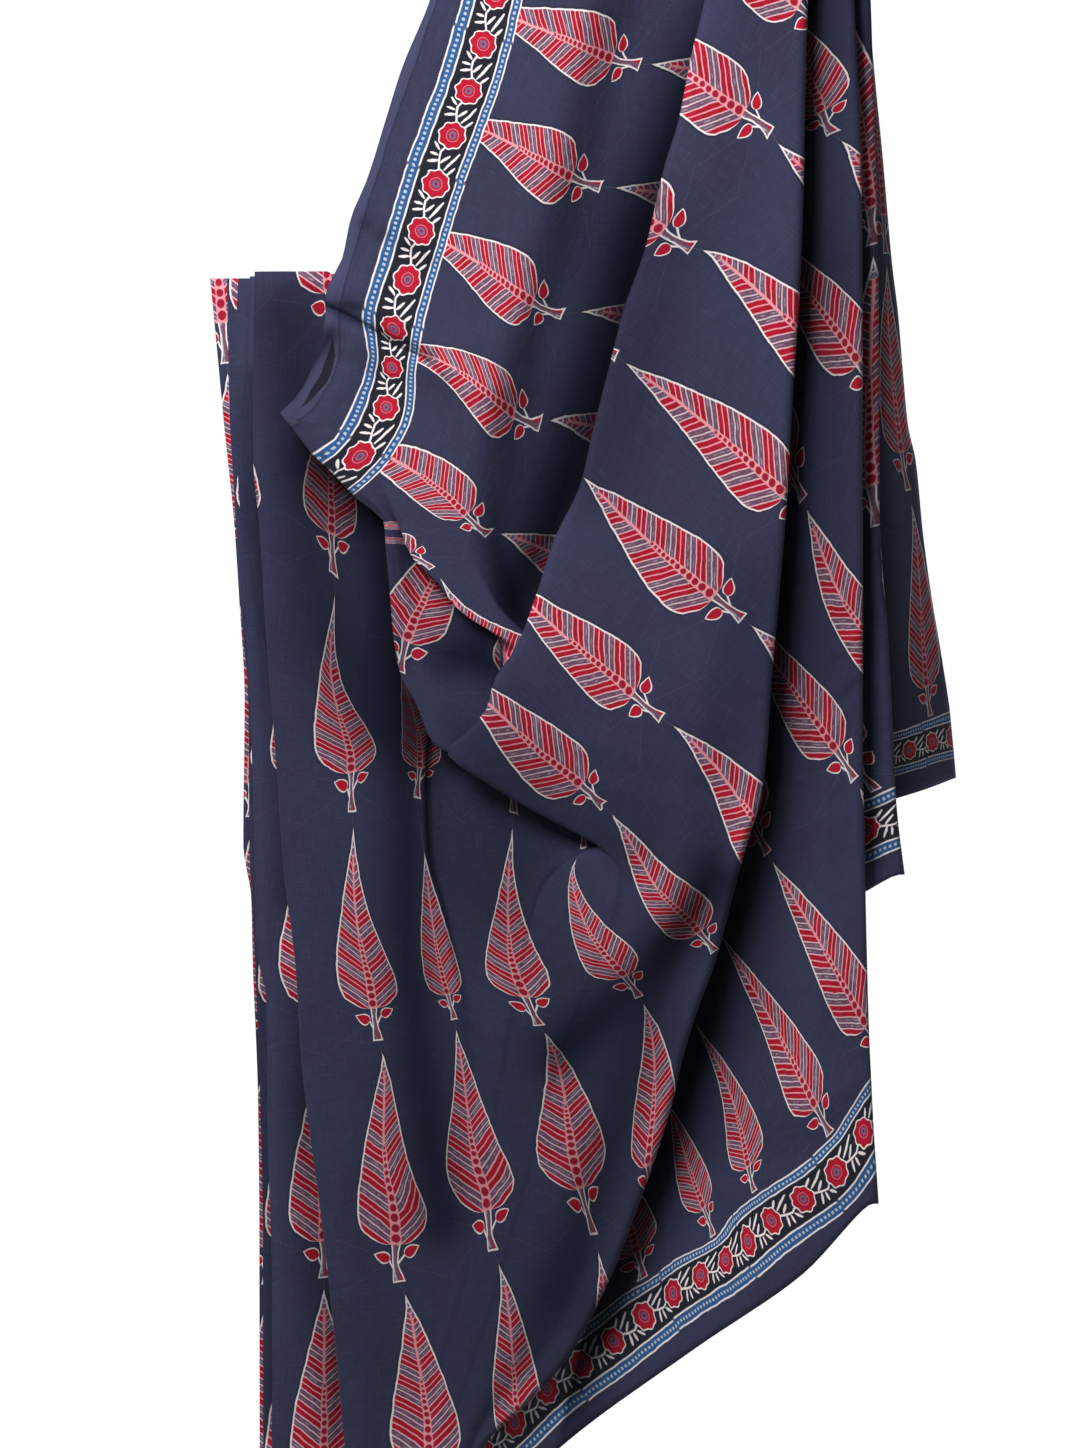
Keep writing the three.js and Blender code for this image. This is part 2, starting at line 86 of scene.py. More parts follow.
# The lines of the cloth, from the back of the stack to the free edge of the cascade: points
# of (y, x) on the grid and the depth behind the origin in millimetres.
lines = {
    "back end": line([
        (275, 440, 50), (700, 448, 50), (1100, 436, 52), (1448, 415, 58), (1610, 398, 60)]),
    "pleat 1 left": line([
        (275, 208, 46), (330, 213, 46), (430, 222, 46), (520, 232, 46), (600, 237, 46),
        (700, 243, 46), (845, 242, 46), (900, 250, 47), (960, 251, 47), (1100, 256, 48),
        (1240, 258, 50), (1448, 257, 54), (1612, 258, 56)], faces="left", blunt=True),
    "pleat 1 right": line([
        (275, 452, 42), (700, 462, 42), (1100, 450, 44), (1448, 425, 50), (1612, 405, 52)],
        faces="right", blunt=True),
    "pleat 2 left": line([
        (276, 226, 38), (410, 228, 38), (482, 232, 38), (555, 236, 38), (620, 240, 38),
        (700, 247, 38), (845, 248, 38), (960, 253, 39), (1100, 259, 40), (1240, 261, 42),
        (1448, 261, 46), (1614, 262, 48)], faces="left", blunt=True),
    "pleat 2 right": line([
        (276, 462, 34), (700, 470, 34), (1100, 456, 36), (1448, 431, 42), (1614, 410, 44)],
        faces="right", blunt=True),
    "pleat 3 left": line([
        (276, 237, 30), (361, 234, 30), (458, 236, 30), (543, 241, 30), (620, 245, 30),
        (700, 250, 30), (855, 253, 30), (953, 256, 31), (1000, 265, 32), (1147, 267, 33),
        (1271, 271, 35), (1448, 270, 38), (1608, 271, 40)], faces="left", blunt=True),
    "pleat 3 right": line([
        (276, 455, 26), (700, 466, 26), (1100, 452, 28), (1448, 427, 34), (1608, 407, 36)],
        faces="right", blunt=True),
    "pleat 4 left": line([
        (274, 250, 22), (337, 248, 22), (410, 245, 22), (482, 244, 22), (579, 251, 22),
        (650, 266, 22), (756, 280, 22), (869, 289, 22), (1069, 309, 23), (1271, 333, 26),
        (1448, 350, 30), (1613, 361, 32)], faces="left", blunt=True),
    "pleat 4 right": line([
        (276, 448, 17), (700, 460, 17), (1100, 448, 18), (1448, 424, 25), (1613, 402, 27)],
        faces="right", blunt=True),
    "panel edge": line([
        (271, 255, 12), (361, 253, 11), (458, 253, 10), (531, 260, 9), (620, 265, 8),
        (756, 276, 7), (869, 284, 6), (967, 296, 5), (1069, 303, 4), (1193, 318, 3),
        (1271, 328, 3), (1350, 336, 3), (1448, 345, 3), (1612, 356, 3)], faces="left"),
    "panel crown": line([
        (271, 278, 8), (458, 284, 5), (620, 300, 3), (869, 325, 0), (1069, 345, -2),
        (1271, 360, -4), (1448, 364, -5), (1610, 361, -5)]),
    "panel valley": line([
        (271, 300, 9), (400, 345, 9), (500, 382, 9), (600, 398, 8), (756, 404, 7), (869, 408, 4),
        (1000, 414, 1), (1150, 413, -2), (1300, 403, -3), (1448, 382, -4), (1606, 366, -5)]),
    "panel ridge": line([
        (271, 318, 8), (400, 364, 6), (500, 404, 4), (600, 424, 2), (700, 427, 0), (790, 422, -3),
        (852, 426, -5), (911, 441, -6), (981, 455, -6), (1015, 460, -6), (1100, 462, -6),
        (1200, 454, -6), (1300, 436, -6), (1448, 398, -6), (1603, 372, -6)]),
    "behind ridge": line([
        (271, 326, 9), (400, 370, 9), (500, 411, 9), (600, 431, 8), (700, 434, 7), (790, 428, 5),
        (852, 431, 4), (911, 447, 2), (981, 463, -1), (1015, 470, -3), (1100, 474, -6),
        (1200, 464, -7), (1300, 445, -7), (1448, 405, -7), (1602, 377, -6)]),
    "panel inner": line([
        (278, 334, 9), (400, 382, 8), (500, 428, 7), (600, 464, 4), (700, 495, 1), (790, 522, -4),
        (852, 535, -8), (911, 528, -11), (1000, 512, -12), (1100, 494, -11), (1200, 478, -10),
        (1300, 456, -9), (1448, 412, -8), (1600, 381, -7)]),
    "panel turn": line([
        (285, 345, 5), (400, 400, 2), (500, 448, 0), (600, 500, -2), (690, 548, -5),
        (770, 592, -11), (825, 625, -17), (841, 604, -19), (856, 575, -18), (870, 553, -15),
        (900, 535, -13), (1000, 516, -12), (1100, 498, -11), (1200, 482, -10), (1300, 460, -9),
        (1448, 416, -8), (1600, 385, -7)], faces="right", blunt=True, closes=(679, 712)),
    "under layer": line([
        (335, 334, 2), (400, 345, 2), (475, 395, -1), (524, 425, -4), (600, 450, -5),
        (700, 492, -8), (744, 510, -11.5), (796, 570, -13)], bridge=True),
    "drape edge": line([
        (-80, 452, -2), (0, 431, -6), (70, 403, -9), (116, 388, -11), (184, 367, -13),
        (218, 352, -14), (262, 342, -15), (279, 333, -16), (298, 325, -19), (314, 327, -17),
        (331, 325, -20), (337, 327, -20), (362, 316, -21), (390, 304, -20), (408, 288, -18),
        (413, 281, -16), (430, 294, -15), (452, 310, -15), (475, 334, -15), (497, 356, -15),
        (524, 385, -15), (545, 387, -15), (589, 391, -15), (638, 395, -15), (673, 402, -16),
        (706, 419, -17), (744, 435, -18), (759, 462, -18), (779, 500, -18), (796, 530, -18)],
        faces="left", closes=(645, 682), bridge=True),
    "roll": line([
        (-80, 470, -4), (0, 450, -9), (70, 422, -12), (116, 408, -14), (184, 387, -16),
        (262, 362, -18), (298, 345, -22), (314, 347, -18), (337, 346, -23), (362, 338, -24),
        (390, 328, -24), (413, 312, -23), (430, 318, -23), (452, 331, -22), (475, 350, -22),
        (497, 369, -22), (524, 391, -20), (545, 395, -20), (589, 402, -22), (638, 411, -23),
        (673, 424, -24), (706, 442, -25), (744, 462, -20), (796, 535, -20)], bridge=True),
    "hollow": line([
        (-80, 480, -4), (0, 462, -10), (116, 420, -15), (184, 398, -17), (262, 374, -19),
        (298, 360, -23), (314, 361, -19), (337, 360, -24), (362, 356, -25), (390, 346, -25),
        (413, 333, -24), (430, 336, -24), (452, 345, -23), (475, 360, -22), (497, 376, -21),
        (524, 395, -18), (545, 401, -18), (582, 413, -15), (605, 427, -13), (638, 446, -12),
        (655, 458, -13), (673, 463, -15), (690, 466, -19), (706, 466, -22), (744, 474, -21),
        (796, 541, -21)], bridge=True),
    "trough": line([
        (-80, 492, -4), (0, 474, -10), (116, 432, -15), (184, 410, -17), (262, 388, -19),
        (298, 374, -22), (337, 376, -24), (362, 376, -24), (390, 364, -24), (413, 354, -24),
        (452, 358, -23), (475, 370, -22), (497, 384, -20), (524, 399, -15), (545, 408, -13),
        (560, 419, -11), (582, 442, -10), (605, 459, -10), (623, 480, -10), (638, 500, -11),
        (655, 500, -12), (673, 500, -13), (690, 500, -16), (706, 492, -19), (744, 488, -22),
        (796, 547, -21.7)], bridge=True),
    "sash ridge": line([
        (-80, 522, -5), (0, 500, -11), (116, 470, -16), (184, 450, -18), (262, 428, -20),
        (298, 417, -22), (337, 412, -23), (362, 413, -24), (413, 398, -25), (452, 390, -25),
        (497, 391, -24), (524, 402, -23), (545, 406, -23), (560, 414, -24), (582, 437, -24),
        (605, 454, -24), (623, 476, -24), (638, 502, -23), (655, 524, -21), (690, 530, -20),
        (706, 514, -20), (744, 500, -22.7), (796, 553, -22.4)], bridge=True),
    "sash middle": line([
        (-80, 600, -5), (0, 580, -12), (116, 555, -17), (184, 540, -19), (262, 520, -21),
        (337, 500, -24), (413, 478, -26), (452, 468, -27), (497, 465, -27), (524, 468, -26),
        (560, 478, -25), (605, 500, -24), (638, 530, -21), (655, 542, -20), (690, 542, -20),
        (706, 525, -20), (744, 511, -23.3), (796, 559, -23)], bridge=True),
    "sash shade": line([
        (-80, 662, 12), (0, 646, 8), (61, 631, 8), (122, 619, 6), (171, 604, 4), (251, 585, 2),
        (312, 566, 0), (380, 548, -1), (432, 535, -2), (484, 525, -4), (542, 514, -6),
        (594, 522, -10), (638, 550, -14), (655, 558, -16), (690, 552, -19), (706, 536, -20),
        (744, 522, -24), (796, 565, -23.6)], bridge=True),
    "sash turn": line([
        (-80, 768, 16), (0, 753, 12), (61, 742, 12), (122, 732, 10), (171, 720, 8), (251, 706, 6),
        (312, 690, 4), (380, 675, 3), (432, 665, 2), (484, 655, 0), (542, 632, -4),
        (594, 615, -10), (634, 600, -16), (655, 592, -19), (672, 582, -21), (694, 568, -23),
        (711, 550, -24), (744, 535, -26), (796, 572, -25.4)],
        faces="right", blunt=True, reach=1.6, closes=(645, 682), bridge=True),
    "front edge": line([
        (-80, 722, -9), (0, 706, -15), (61, 691, -18), (122, 679, -20), (171, 664, -22),
        (251, 645, -24), (312, 624, -26), (380, 606, -28), (432, 593, -29), (484, 581, -30),
        (542, 555, -31), (594, 538, -32), (634, 523, -33), (655, 514, -33), (672, 500, -33),
        (685, 493, -33), (694, 492, -32), (711, 486, -32), (727, 473, -31), (741, 457, -30),
        (750, 447, -30), (759, 452, -29), (779, 481, -29), (796, 509, -29), (812, 537, -29),
        (841, 593, -28), (852, 608, -27), (870, 620, -26), (900, 618, -25), (951, 600, -22),
        (1000, 580, -20), (1100, 545, -17), (1200, 520, -15), (1300, 492, -13), (1448, 447, -10),
        (1599, 428, -7)], faces="left", closes=(679, 712)),
    "front ridge": line([
        (-80, 755, -15), (0, 738, -20), (61, 722, -22), (122, 710, -24), (171, 696, -26),
        (251, 676, -28), (312, 656, -30), (380, 640, -32), (432, 630, -33), (484, 620, -34),
        (542, 600, -35), (594, 585, -36), (634, 580, -37), (700, 590, -38), (747, 610, -38),
        (790, 650, -37), (833, 688, -36), (871, 680, -34), (909, 668, -33), (951, 646, -31),
        (1000, 630, -29), (1080, 600, -26), (1160, 575, -23), (1250, 545, -20), (1330, 515, -17),
        (1448, 463, -13), (1598, 438, -8)]),
    "front valley": line([
        (-80, 780, -13), (0, 772, -18), (122, 757, -22), (251, 745, -25), (380, 725, -29),
        (484, 710, -31), (594, 700, -33), (700, 705, -33), (790, 722, -32), (833, 725, -30),
        (871, 716, -27), (909, 703, -24), (951, 685, -22), (1000, 668, -21), (1080, 645, -19),
        (1160, 618, -17), (1250, 590, -15), (1330, 555, -13), (1448, 472, -11), (1596, 446, -7)]),
    "front turn": line([
        (-80, 809, -9), (0, 807, -14), (92, 804, -18), (214, 801, -22), (300, 797, -24),
        (380, 792, -26), (496, 785, -28), (625, 775, -30), (686, 769, -30), (747, 765, -31),
        (800, 759, -30), (830, 749, -29), (861, 740, -28), (919, 725, -26), (962, 713, -25),
        (1005, 697, -24), (1057, 682, -22), (1103, 670, -21), (1155, 654, -20), (1200, 639, -18),
        (1255, 619, -17), (1298, 599, -16), (1353, 570, -14), (1400, 530, -12), (1448, 481, -10),
        (1500, 468, -8), (1595, 455, -6)], faces="right", recedes=True, reach=4),
    "inner turn": line([
        (-80, 779, -2), (0, 764, -7), (122, 744, -10), (171, 735, -11), (251, 716, -13),
        (300, 706, -15), (380, 700, -16), (496, 690, -18), (625, 678, -20), (747, 668, -20),
        (800, 664, -19), (861, 650, -15), (962, 620, -11), (1057, 590, -8), (1155, 560, -6),
        (1255, 525, -4), (1353, 480, -1), (1448, 436, 0), (1500, 424, 1), (1598, 414, 1)],
        faces="left", blunt=True, recedes=True),
    "middle back": line([
        (-80, 795, 8), (0, 785, 4), (122, 775, 1), (300, 745, -3), (500, 730, -7), (747, 715, -8),
        (861, 705, -7), (962, 685, -4), (1057, 665, -1), (1155, 640, 1), (1255, 610, 2),
        (1353, 580, 3), (1448, 560, 3)]),
    "middle hollow": line([
        (-80, 816, 5), (0, 814, 1), (122, 814, -3), (300, 800, -6), (500, 790, -10),
        (747, 778, -11), (861, 778, -10), (962, 765, -9), (1057, 745, -6), (1155, 722, -5),
        (1255, 704, -5), (1352, 690, -5)]),
    "middle crown": line([
        (-80, 834, -2), (0, 835, -6), (122, 840, -9), (300, 838, -13), (500, 836, -17),
        (747, 832, -19), (900, 830, -18), (1057, 819, -17), (1155, 810, -15), (1272, 803, -14)]),
    "middle turn": line([
        (-80, 850, -1), (0, 853, -4), (61, 856, -6), (120, 859, -7), (250, 861, -10),
        (500, 861, -14), (760, 861, -16), (821, 863, -16), (895, 864, -16), (1005, 867, -15),
        (1122, 872, -13), (1202, 877, -12)], faces="right", recedes=True),
    "second inner turn": line([
        (-80, 832, 8), (0, 833, 5), (250, 826, -1), (500, 816, -5), (760, 812, -6),
        (915, 815, -6)], faces="left", blunt=True, recedes=True),
    "narrow fold": line([
        (-80, 848, 11), (0, 851, 8), (250, 856, 3), (500, 858, 0), (760, 862, -1), (896, 858, -2)]),
    "third turn": line([
        (-80, 866, 12), (0, 870, 9), (380, 879, 3), (500, 879, 1), (563, 881, 0), (625, 886, 0),
        (726, 892, -1), (788, 895, -1), (821, 898, -1), (875, 904, -1)],
        faces="right", recedes=True),
    "third inner turn": line([
        (-80, 848, 17), (0, 850, 15), (250, 852, 10), (500, 855, 7), (760, 862, 6), (808, 865, 6)],
        faces="left", blunt=True, recedes=True),
    "back fold": line([
        (-80, 858, 32), (0, 862, 34), (153, 871, 38), (306, 879, 42), (500, 892, 46),
        (655, 906, 48), (791, 926, 48)]),
    "free edge": line([
        (-80, 868, 50), (0, 872, 55), (76, 878, 60), (153, 887, 66), (254, 896, 74),
        (306, 902, 78), (367, 908, 82), (420, 913, 86), (456, 921, 88), (533, 930, 90),
        (600, 939, 91), (655, 948, 92), (707, 956, 92), (747, 960, 92), (778, 963, 92)]),
}


def smooth(start, end, value):
    share = np.clip((np.asarray(value, float) - start) / (end - start), 0, 1)
    return share * share * (3 - 2 * share)


def blend(share, under, over):
    return under * (1 - share) + over * share


# slopes that never overshoot, for a curve between two knots
def gentleSlopes(rises):
    slopes = np.zeros((len(rises) + 1,) + rises.shape[1:])
    slopes[0], slopes[-1] = rises[0], rises[-1]
    product = rises[:-1] * rises[1:]
    total = np.where(product > 0, rises[:-1] + rises[1:], 1)
    slopes[1:-1] = np.where(product > 0, 2 * product / total, 0)
    return slopes


def curveBetween(start, end, startSlope, endSlope, span, t):
    return (start * (1 + 2 * t) * (1 - t) ** 2 + startSlope * span * t * (1 - t) ** 2
            + end * t * t * (3 - 2 * t) - endSlope * span * t * t * (1 - t))


def curveAt(knots, values, where):
    where = np.clip(where, knots[0], knots[-1])
    slopes = gentleSlopes(np.diff(values) / np.diff(knots))
    i = np.clip(np.searchsorted(knots, where, side="right") - 1, 0, len(knots) - 2)
    span = knots[i + 1] - knots[i]
    t = (where - knots[i]) / span
    return curveBetween(values[i], values[i + 1], slopes[i], slopes[i + 1], span, t)


def columnsOf(name, spec):
    course = np.array(spec["course"], float)
    ends = {"name": name, "top": course[0, 0], "bottom": course[-1, 0],
            "bridge": spec["bridge"]}

    def plain(drop):
        return np.stack([curveAt(course[:, 0], course[:, k], drop) for k in (1, 2)], -1)

    if not spec["faces"]:
        return [dict(ends, step=0, at=plain)]
    outward = 1 if spec["faces"] == "right" else -1
    forward = -1 if spec["recedes"] else 1

    def stepped(step):
        def at(drop):
            point = plain(drop)
            folded = 1 - smooth(*spec["closes"], drop) if spec["closes"] else 1.0
            inset = 0 if spec["blunt"] else abs(step) * sheet["foldInset"] * outward
            side = point[..., 0] - inset * folded + step * sheet["openStep"] * (1 - folded)
            depth = point[..., 1] - step * forward * spec["reach"] * folded
            return np.stack([side, depth], -1)
        return at

    steps = (-1, 1) if spec["blunt"] else (-1, 0, 1)
    return [dict(ends, step=step, at=stepped(step)) for step in steps]


columns = [column for name, spec in lines.items() for column in columnsOf(name, spec)]


def columnNumber(name, step=0):
    return next(i for i, c in enumerate(columns) if c["name"] == name and c["step"] == step)


joinColumn = columnNumber("drape edge")
bridged = [i for i, c in enumerate(columns) if c["bridge"]]
firstBridge, lastBridge = bridged[0], bridged[-1]
columns[joinColumn - 1]["top"] = sheet["underTop"]


def bridgeColumn(index):
    column = columns[index]
    share = (index - firstBridge + 1) / (lastBridge - firstBridge + 2)
    before, after = columns[firstBridge - 1], columns[lastBridge + 1]
    own = column["at"]

    def at(drop):
        flat = smooth(*sheet["bridgeOpens"], drop)[..., None]
        return blend(flat, own(drop), blend(share, before["at"](drop), after["at"](drop)))

    return dict(column, at=at, bottom=blend(share, before["bottom"], after["bottom"]))


columns[firstBridge:lastBridge + 1] = [bridgeColumn(i) for i in bridged]


def fineRows():
    fine = [0.0]
    for start, end in zip(rowDrops, rowDrops[1:]):
        tucked = sheet["tuck"][0] < (start + end) / 2 < sheet["tuck"][1]
        count = max(1, math.ceil((end - start) / sheet["tuckStep" if tucked else "rowStep"]))
        fine += [start + (end - start) * k / count for k in range(1, count + 1)]
    return np.array(fine)


rows = fineRows()
topRow = int(np.searchsorted(rows, sheet["panelTop"]))
joinRow = int(np.searchsorted(rows, sheet["joinDrop"]))


def rowsOf(index):
    column, join = columns[index], sheet["joinDrop"]
    above = rows
    if index < joinColumn:
        spread = (rows - sheet["panelTop"]) / (join - sheet["panelTop"])
        above = column["top"] + (join - column["top"]) * spread
    below = join + (column["bottom"] - join) * (rows - join) / (sheet["longest"] - join)
    return np.where(rows > join, below, above)


def controlColumn(index):
    drops = rowsOf(index)
    place = columns[index]["at"](drops)
    return np.stack([place[:, 0], place[:, 1], -drops], -1)


controlPoints = np.array([controlColumn(i) for i in range(len(columns))])


def stripTopOf(index):
    if index >= joinColumn:
        return 0
    return joinRow if index == joinColumn - 1 else topRow


def fineSurface():
    chords = np.linalg.norm(np.diff(controlPoints, axis=0), axis=2)
    chords = np.sqrt(np.maximum(chords, sheet["leastChord"]))[..., None]
    slopes = gentleSlopes(np.diff(controlPoints, axis=0) / chords)
    points, found = [], []
    for i in range(len(columns) - 1):
        before, after = controlPoints[i], controlPoints[i + 1]
        width = np.linalg.norm((after - before)[stripTopOf(i):], axis=1).max()
        hidden = columns[i + 1]["name"].startswith("pleat") or columns[i]["name"] == "back end"
        count = max(2, math.ceil(width / sheet["hiddenStep" if hidden else "columnStep"]))
        for k in range(count):
            points.append(curveBetween(before, after, slopes[i], slopes[i + 1], chords[i],
                                       k / count))
            found.append(i + k / count)
    points.append(controlPoints[-1])
    found.append(len(columns) - 1.0)
    return np.array(points), np.array(found)


# the fine sheet, and where each of its columns stands among the cloth's lines
surface, marks = fineSurface()
print("sheet surface:", surface.shape[0], "columns,", surface.shape[1], "rows")


def between(first, last):
    return (marks >= first - 1e-6) & (marks <= last + 1e-6)


def distanceAlong():
    steps = np.linalg.norm(np.diff(surface, axis=0), axis=2)
    return np.concatenate([np.zeros((1, len(rows))), np.cumsum(steps, 0)])


printScale = {
    "chain": 87.0,
    "row": 171.0,
    "firstTip": 37.5,
    "pleatSlant": 0.1,
    "stiffness": 2e-5,  # how far the print may leave the points below
    "rollOpens": (448, 474),  # the roll's own print, below the end of the border
    "rollCloses": (660, 705),
    "middleOpens": (1000, 1050),
}

# The print is laid on through points of the grid: x, y, the chain of leaves there and the
# distance from the border.
printGrid = {
    "base": 184,  # from a leaf's tip to the base of its blade
    "stem": 217,
    "widest": 156,
    "halfLeaf": 0.293,
    "flower": 49 / 116,  # of a chain's width
    "border": [(-66, -24, 0), (-31, -11, 35), (0, 0, 67), (28, 10, 98)],  # beside a flower
    "bottom": [(0, 0, 1445), (16, 27, 1476), (-16, -27, 1413)],
}


def tip(row):
    return (printScale["firstTip"] + row * printScale["row"]) / grid["square"]


def base(row):
    return tip(row) + printGrid["base"]


def stem(row):
    return tip(row) + printGrid["stem"]


# both sides of a leaf where it is widest
def sides(chain, row, left, right):
    return [(x, y, chain + turn * printGrid["halfLeaf"], tip(row) + printGrid["widest"])
            for (x, y), turn in ((left, -1), (right, 1))]


def byFlower(points):
    return [(x, y, number * printGrid["flower"], distance) for x, y, number, distance in points]


panelLeaves = [
    (260, 497, 0.29, 436), (332, 335, 1, stem(0)), (333, 362, 1, tip(1)), (333, 572, 1, stem(1)),
    (334, 595, 1, tip(2)), (352, 811, 1, stem(2)), (353, 825, 1, tip(3)), (378, 1039, 1, stem(3)),
    (382, 1054, 1, tip(4)), (399, 1280, 1, stem(4)), (402, 672, 2, tip(2)), (418, 795, 2, stem(2)),
    (424, 850, 2, tip(3)), (515, 810, 3, stem(2)), (255, 275, 0.34, 200), (253, 361, 0.31, 269),
    (277, 740, 0.41, 643), (300, 967, 0.41, 870), (318, 1193, 0.35, 1088),
    (345, 1448, 0.37, 1336), (514, 825, 3, tip(3)), (584, 862, 4, tip(3)),
    *sides(1, 3, (339, 985), (397, 985)), *sides(1, 2, (316, 752), (376, 750)),
    *sides(3, 3, (487, 975), (554, 970)),
]
# leaves that the panel and the front share
sharedLeaves = [
    (455, 1017, 2, stem(3)), (456, 1029, 2, tip(4)), (492, 1248, 2, stem(4)),
    (499, 1262, 2, tip(5)), (516, 1400, 2, tip(5) + 138), (405, 1294, 1, tip(5)),
    (425, 1510, 1, stem(5)), (539, 1024, 3, stem(3)), (545, 1032, 3, tip(4)),
    (594, 1231, 3, stem(4)), (598, 1249, 3, tip(5)), (638, 994, 4, stem(3)),
    (643, 1003, 4, tip(4)), (647, 1166, 4, base(4)), (713, 950, 5, stem(3)),
    (659, 890, 5, tip(3) + 100),
    *sides(1, 4, (357, 1213), (427, 1208)), *sides(2, 4, (448, 1180), (513, 1172)),
    *sides(3, 4, (537, 1160), (605, 1150)), *sides(1, 5, (391, 1437), (461, 1432)),
]
sashFlowers = [(483, 45, 23), (468, 93, 22), (452, 137, 21), (435, 185, 20), (420, 232, 19),
               (406, 281, 18), (394, 330, 17)]
tuckedFlowers = [
    (392, 369, 16, 66), (370, 357, 16, 35), (417, 375, 16, 98), (387, 408, 15, 67),
    (356, 400, 15, 35), (415, 415, 15, 98), (359, 457, 14, 67), (333, 440, 14, 35),
    (383, 471, 14, 98), (282, 413, 14.3, 0), (313, 453, 13.7, 35), (357, 493, 13.4, 98),
]
sashLeaves = [
    (639, 64, 10, stem(0)), (651, 63, 10, tip(1)), (599, 186, 9, stem(0)), (615, 187, 9, tip(1)),
    (560, 315, 8, stem(0)), (580, 312, 8, tip(1)), (539, 425, 7, stem(0)), (551, 419, 7, tip(1)),
    (487, 536, 6, stem(0)), (500, 534, 6, tip(1)), (432, 567, 5, stem(0)), (455, 603, 5, 300),
    (500, 655, 5, 405),
]
rollLeaves = [
    (430, 586, 4, 160), (407, 641, 4, base(0)), (402, 671, 4, stem(0)), (461, 599, 4.29, 160),
    (399, 573, 3.71, 160), (438, 654, 4.29, base(0)), (376, 628, 3.71, base(0)),
    (415, 657, 4.1, 243),
]
frontLeaves = [
    (471, 769, 4.48, 597), (527, 803, 4.57, 660), (500, 713, 5, 581), (582, 785, 5, 690),
    (545, 620, 6, 573), (640, 702, 6, 700), (600, 803, 5, stem(2)), (612, 813, 5, tip(3)),
    (659, 718, 6, stem(2)), (672, 726, 6, tip(3)), (749, 815, 6, 852), (584, 480, 7, tip(2)),
    (740, 619, 7, stem(2)), (749, 625, 7, tip(3)), (626, 366, 8, tip(2)), (777, 491, 8, 683),
    (691, 250, 9, stem(1)), (703, 252, 9, tip(2)), (769, 133, 10, stem(1)),
    (778, 146, 10, tip(2)), (797, 8, 11, base(1)), (742, 116, 10, base(1)),
]
middleLeaves = [
    (831, 133, 10, stem(2)), (842, 141, 10, tip(3)), (816, 95, 10, 661), (800, 282, 9, 818),
    (858, 364, 9, base(3)), (803, 498, 8, stem(3)), (806, 511, 8, tip(4)), (841, 600, 8, 1058),
    (800, 700, 7, 1085), (853, 778, 7, stem(4)), (766, 852, 6, stem(4)), (772, 862, 6, tip(5)),
    (881, 1050, 6, stem(5)), (722, 936, 5, tip(5)), (829, 1132, 5, stem(5)),
    (694, 1023, 4, tip(5)), (753, 1189, 4, stem(5)), (668, 1103, 3, tip(5)),
    (713, 1234, 3, stem(5)), (644, 1277, 2, stem(5)), (732, 1215, 3.45, 1413),
    (680, 1257, 2.5, 1413),
]
# the flowers along the bottom, and how many points are set at each
middleFlowers = [
    (864, 1132, 1), (837, 1174, 3), (804, 1199, 1), (772, 1222, 3), (748, 1243, 1),
    (725, 1262, 2), (701, 1278, 1), (673, 1296, 1), (645, 1318, 3), (615, 1343, 1),
    (583, 1366, 3), (548, 1392, 1), (516, 1425, 1),
]
narrowLeaves = [
    (874, 243, 9, stem(3)), (877, 524, 9, stem(4)), (842, 757, 8, base(5)),
    (865, 833, 7.81, 1445), (863, 803, 7.85, 1413), (895, 788, 8.15, 1413),
    (864, 864, 7.78, 1476), (899, 849, 8.1, 1476), (871, 208, 9, base(3)),
]
backLeaves = [
    (873, 18, 10, tip(3)), (889, 247, 10, stem(3)), (891, 262, 10, tip(4)),
    (912, 486, 10, stem(4)), (916, 500, 10, tip(5)), (935, 714, 10, stem(5)),
]
backFlowers = [
    (912, 752, 22.5, 1445), (938, 744, 23.5, 1445), (959, 740, 24.5, 1445),
    (890, 735, 21.7, 1413), (957, 712, 24.6, 1413), (897, 797, 21.7, 1511),
    (963, 778, 24.6, 1511),
]
sashFlowerPoints = [(x + dx, y + dy, number, distance) for x, y, number in sashFlowers
                    for dx, dy, distance in printGrid["border"]]
middleFlowerPoints = [(x + dx, y + dy, 12.5 - number, distance)
                      for number, (x, y, count) in enumerate(middleFlowers)
                      for dx, dy, distance in printGrid["bottom"][:count]]
places = {
    "panel": panelLeaves + sharedLeaves,
    "sash": byFlower(sashFlowerPoints + tuckedFlowers) + sashLeaves,
    "roll": rollLeaves,
    "front": frontLeaves + sharedLeaves,
    "middle": middleLeaves + byFlower(middleFlowerPoints),
    "narrow": narrowLeaves,
    "back": backLeaves + byFlower(backFlowers) + [(902, 306, 10.18, 1004), (879, 306, 9.8, 1006)],
}


# a point of the print in whole millimetres: side, drop, chain, distance from the border
def onCloth(x, y, chain, distance):
    return sideOf(x), dropOf(y), round(chain, 2), round(distance * grid["square"])


def bendOf(distance):
    return np.where(distance > 0, distance ** 2 * np.log(np.maximum(distance, 1e-9)), 0)


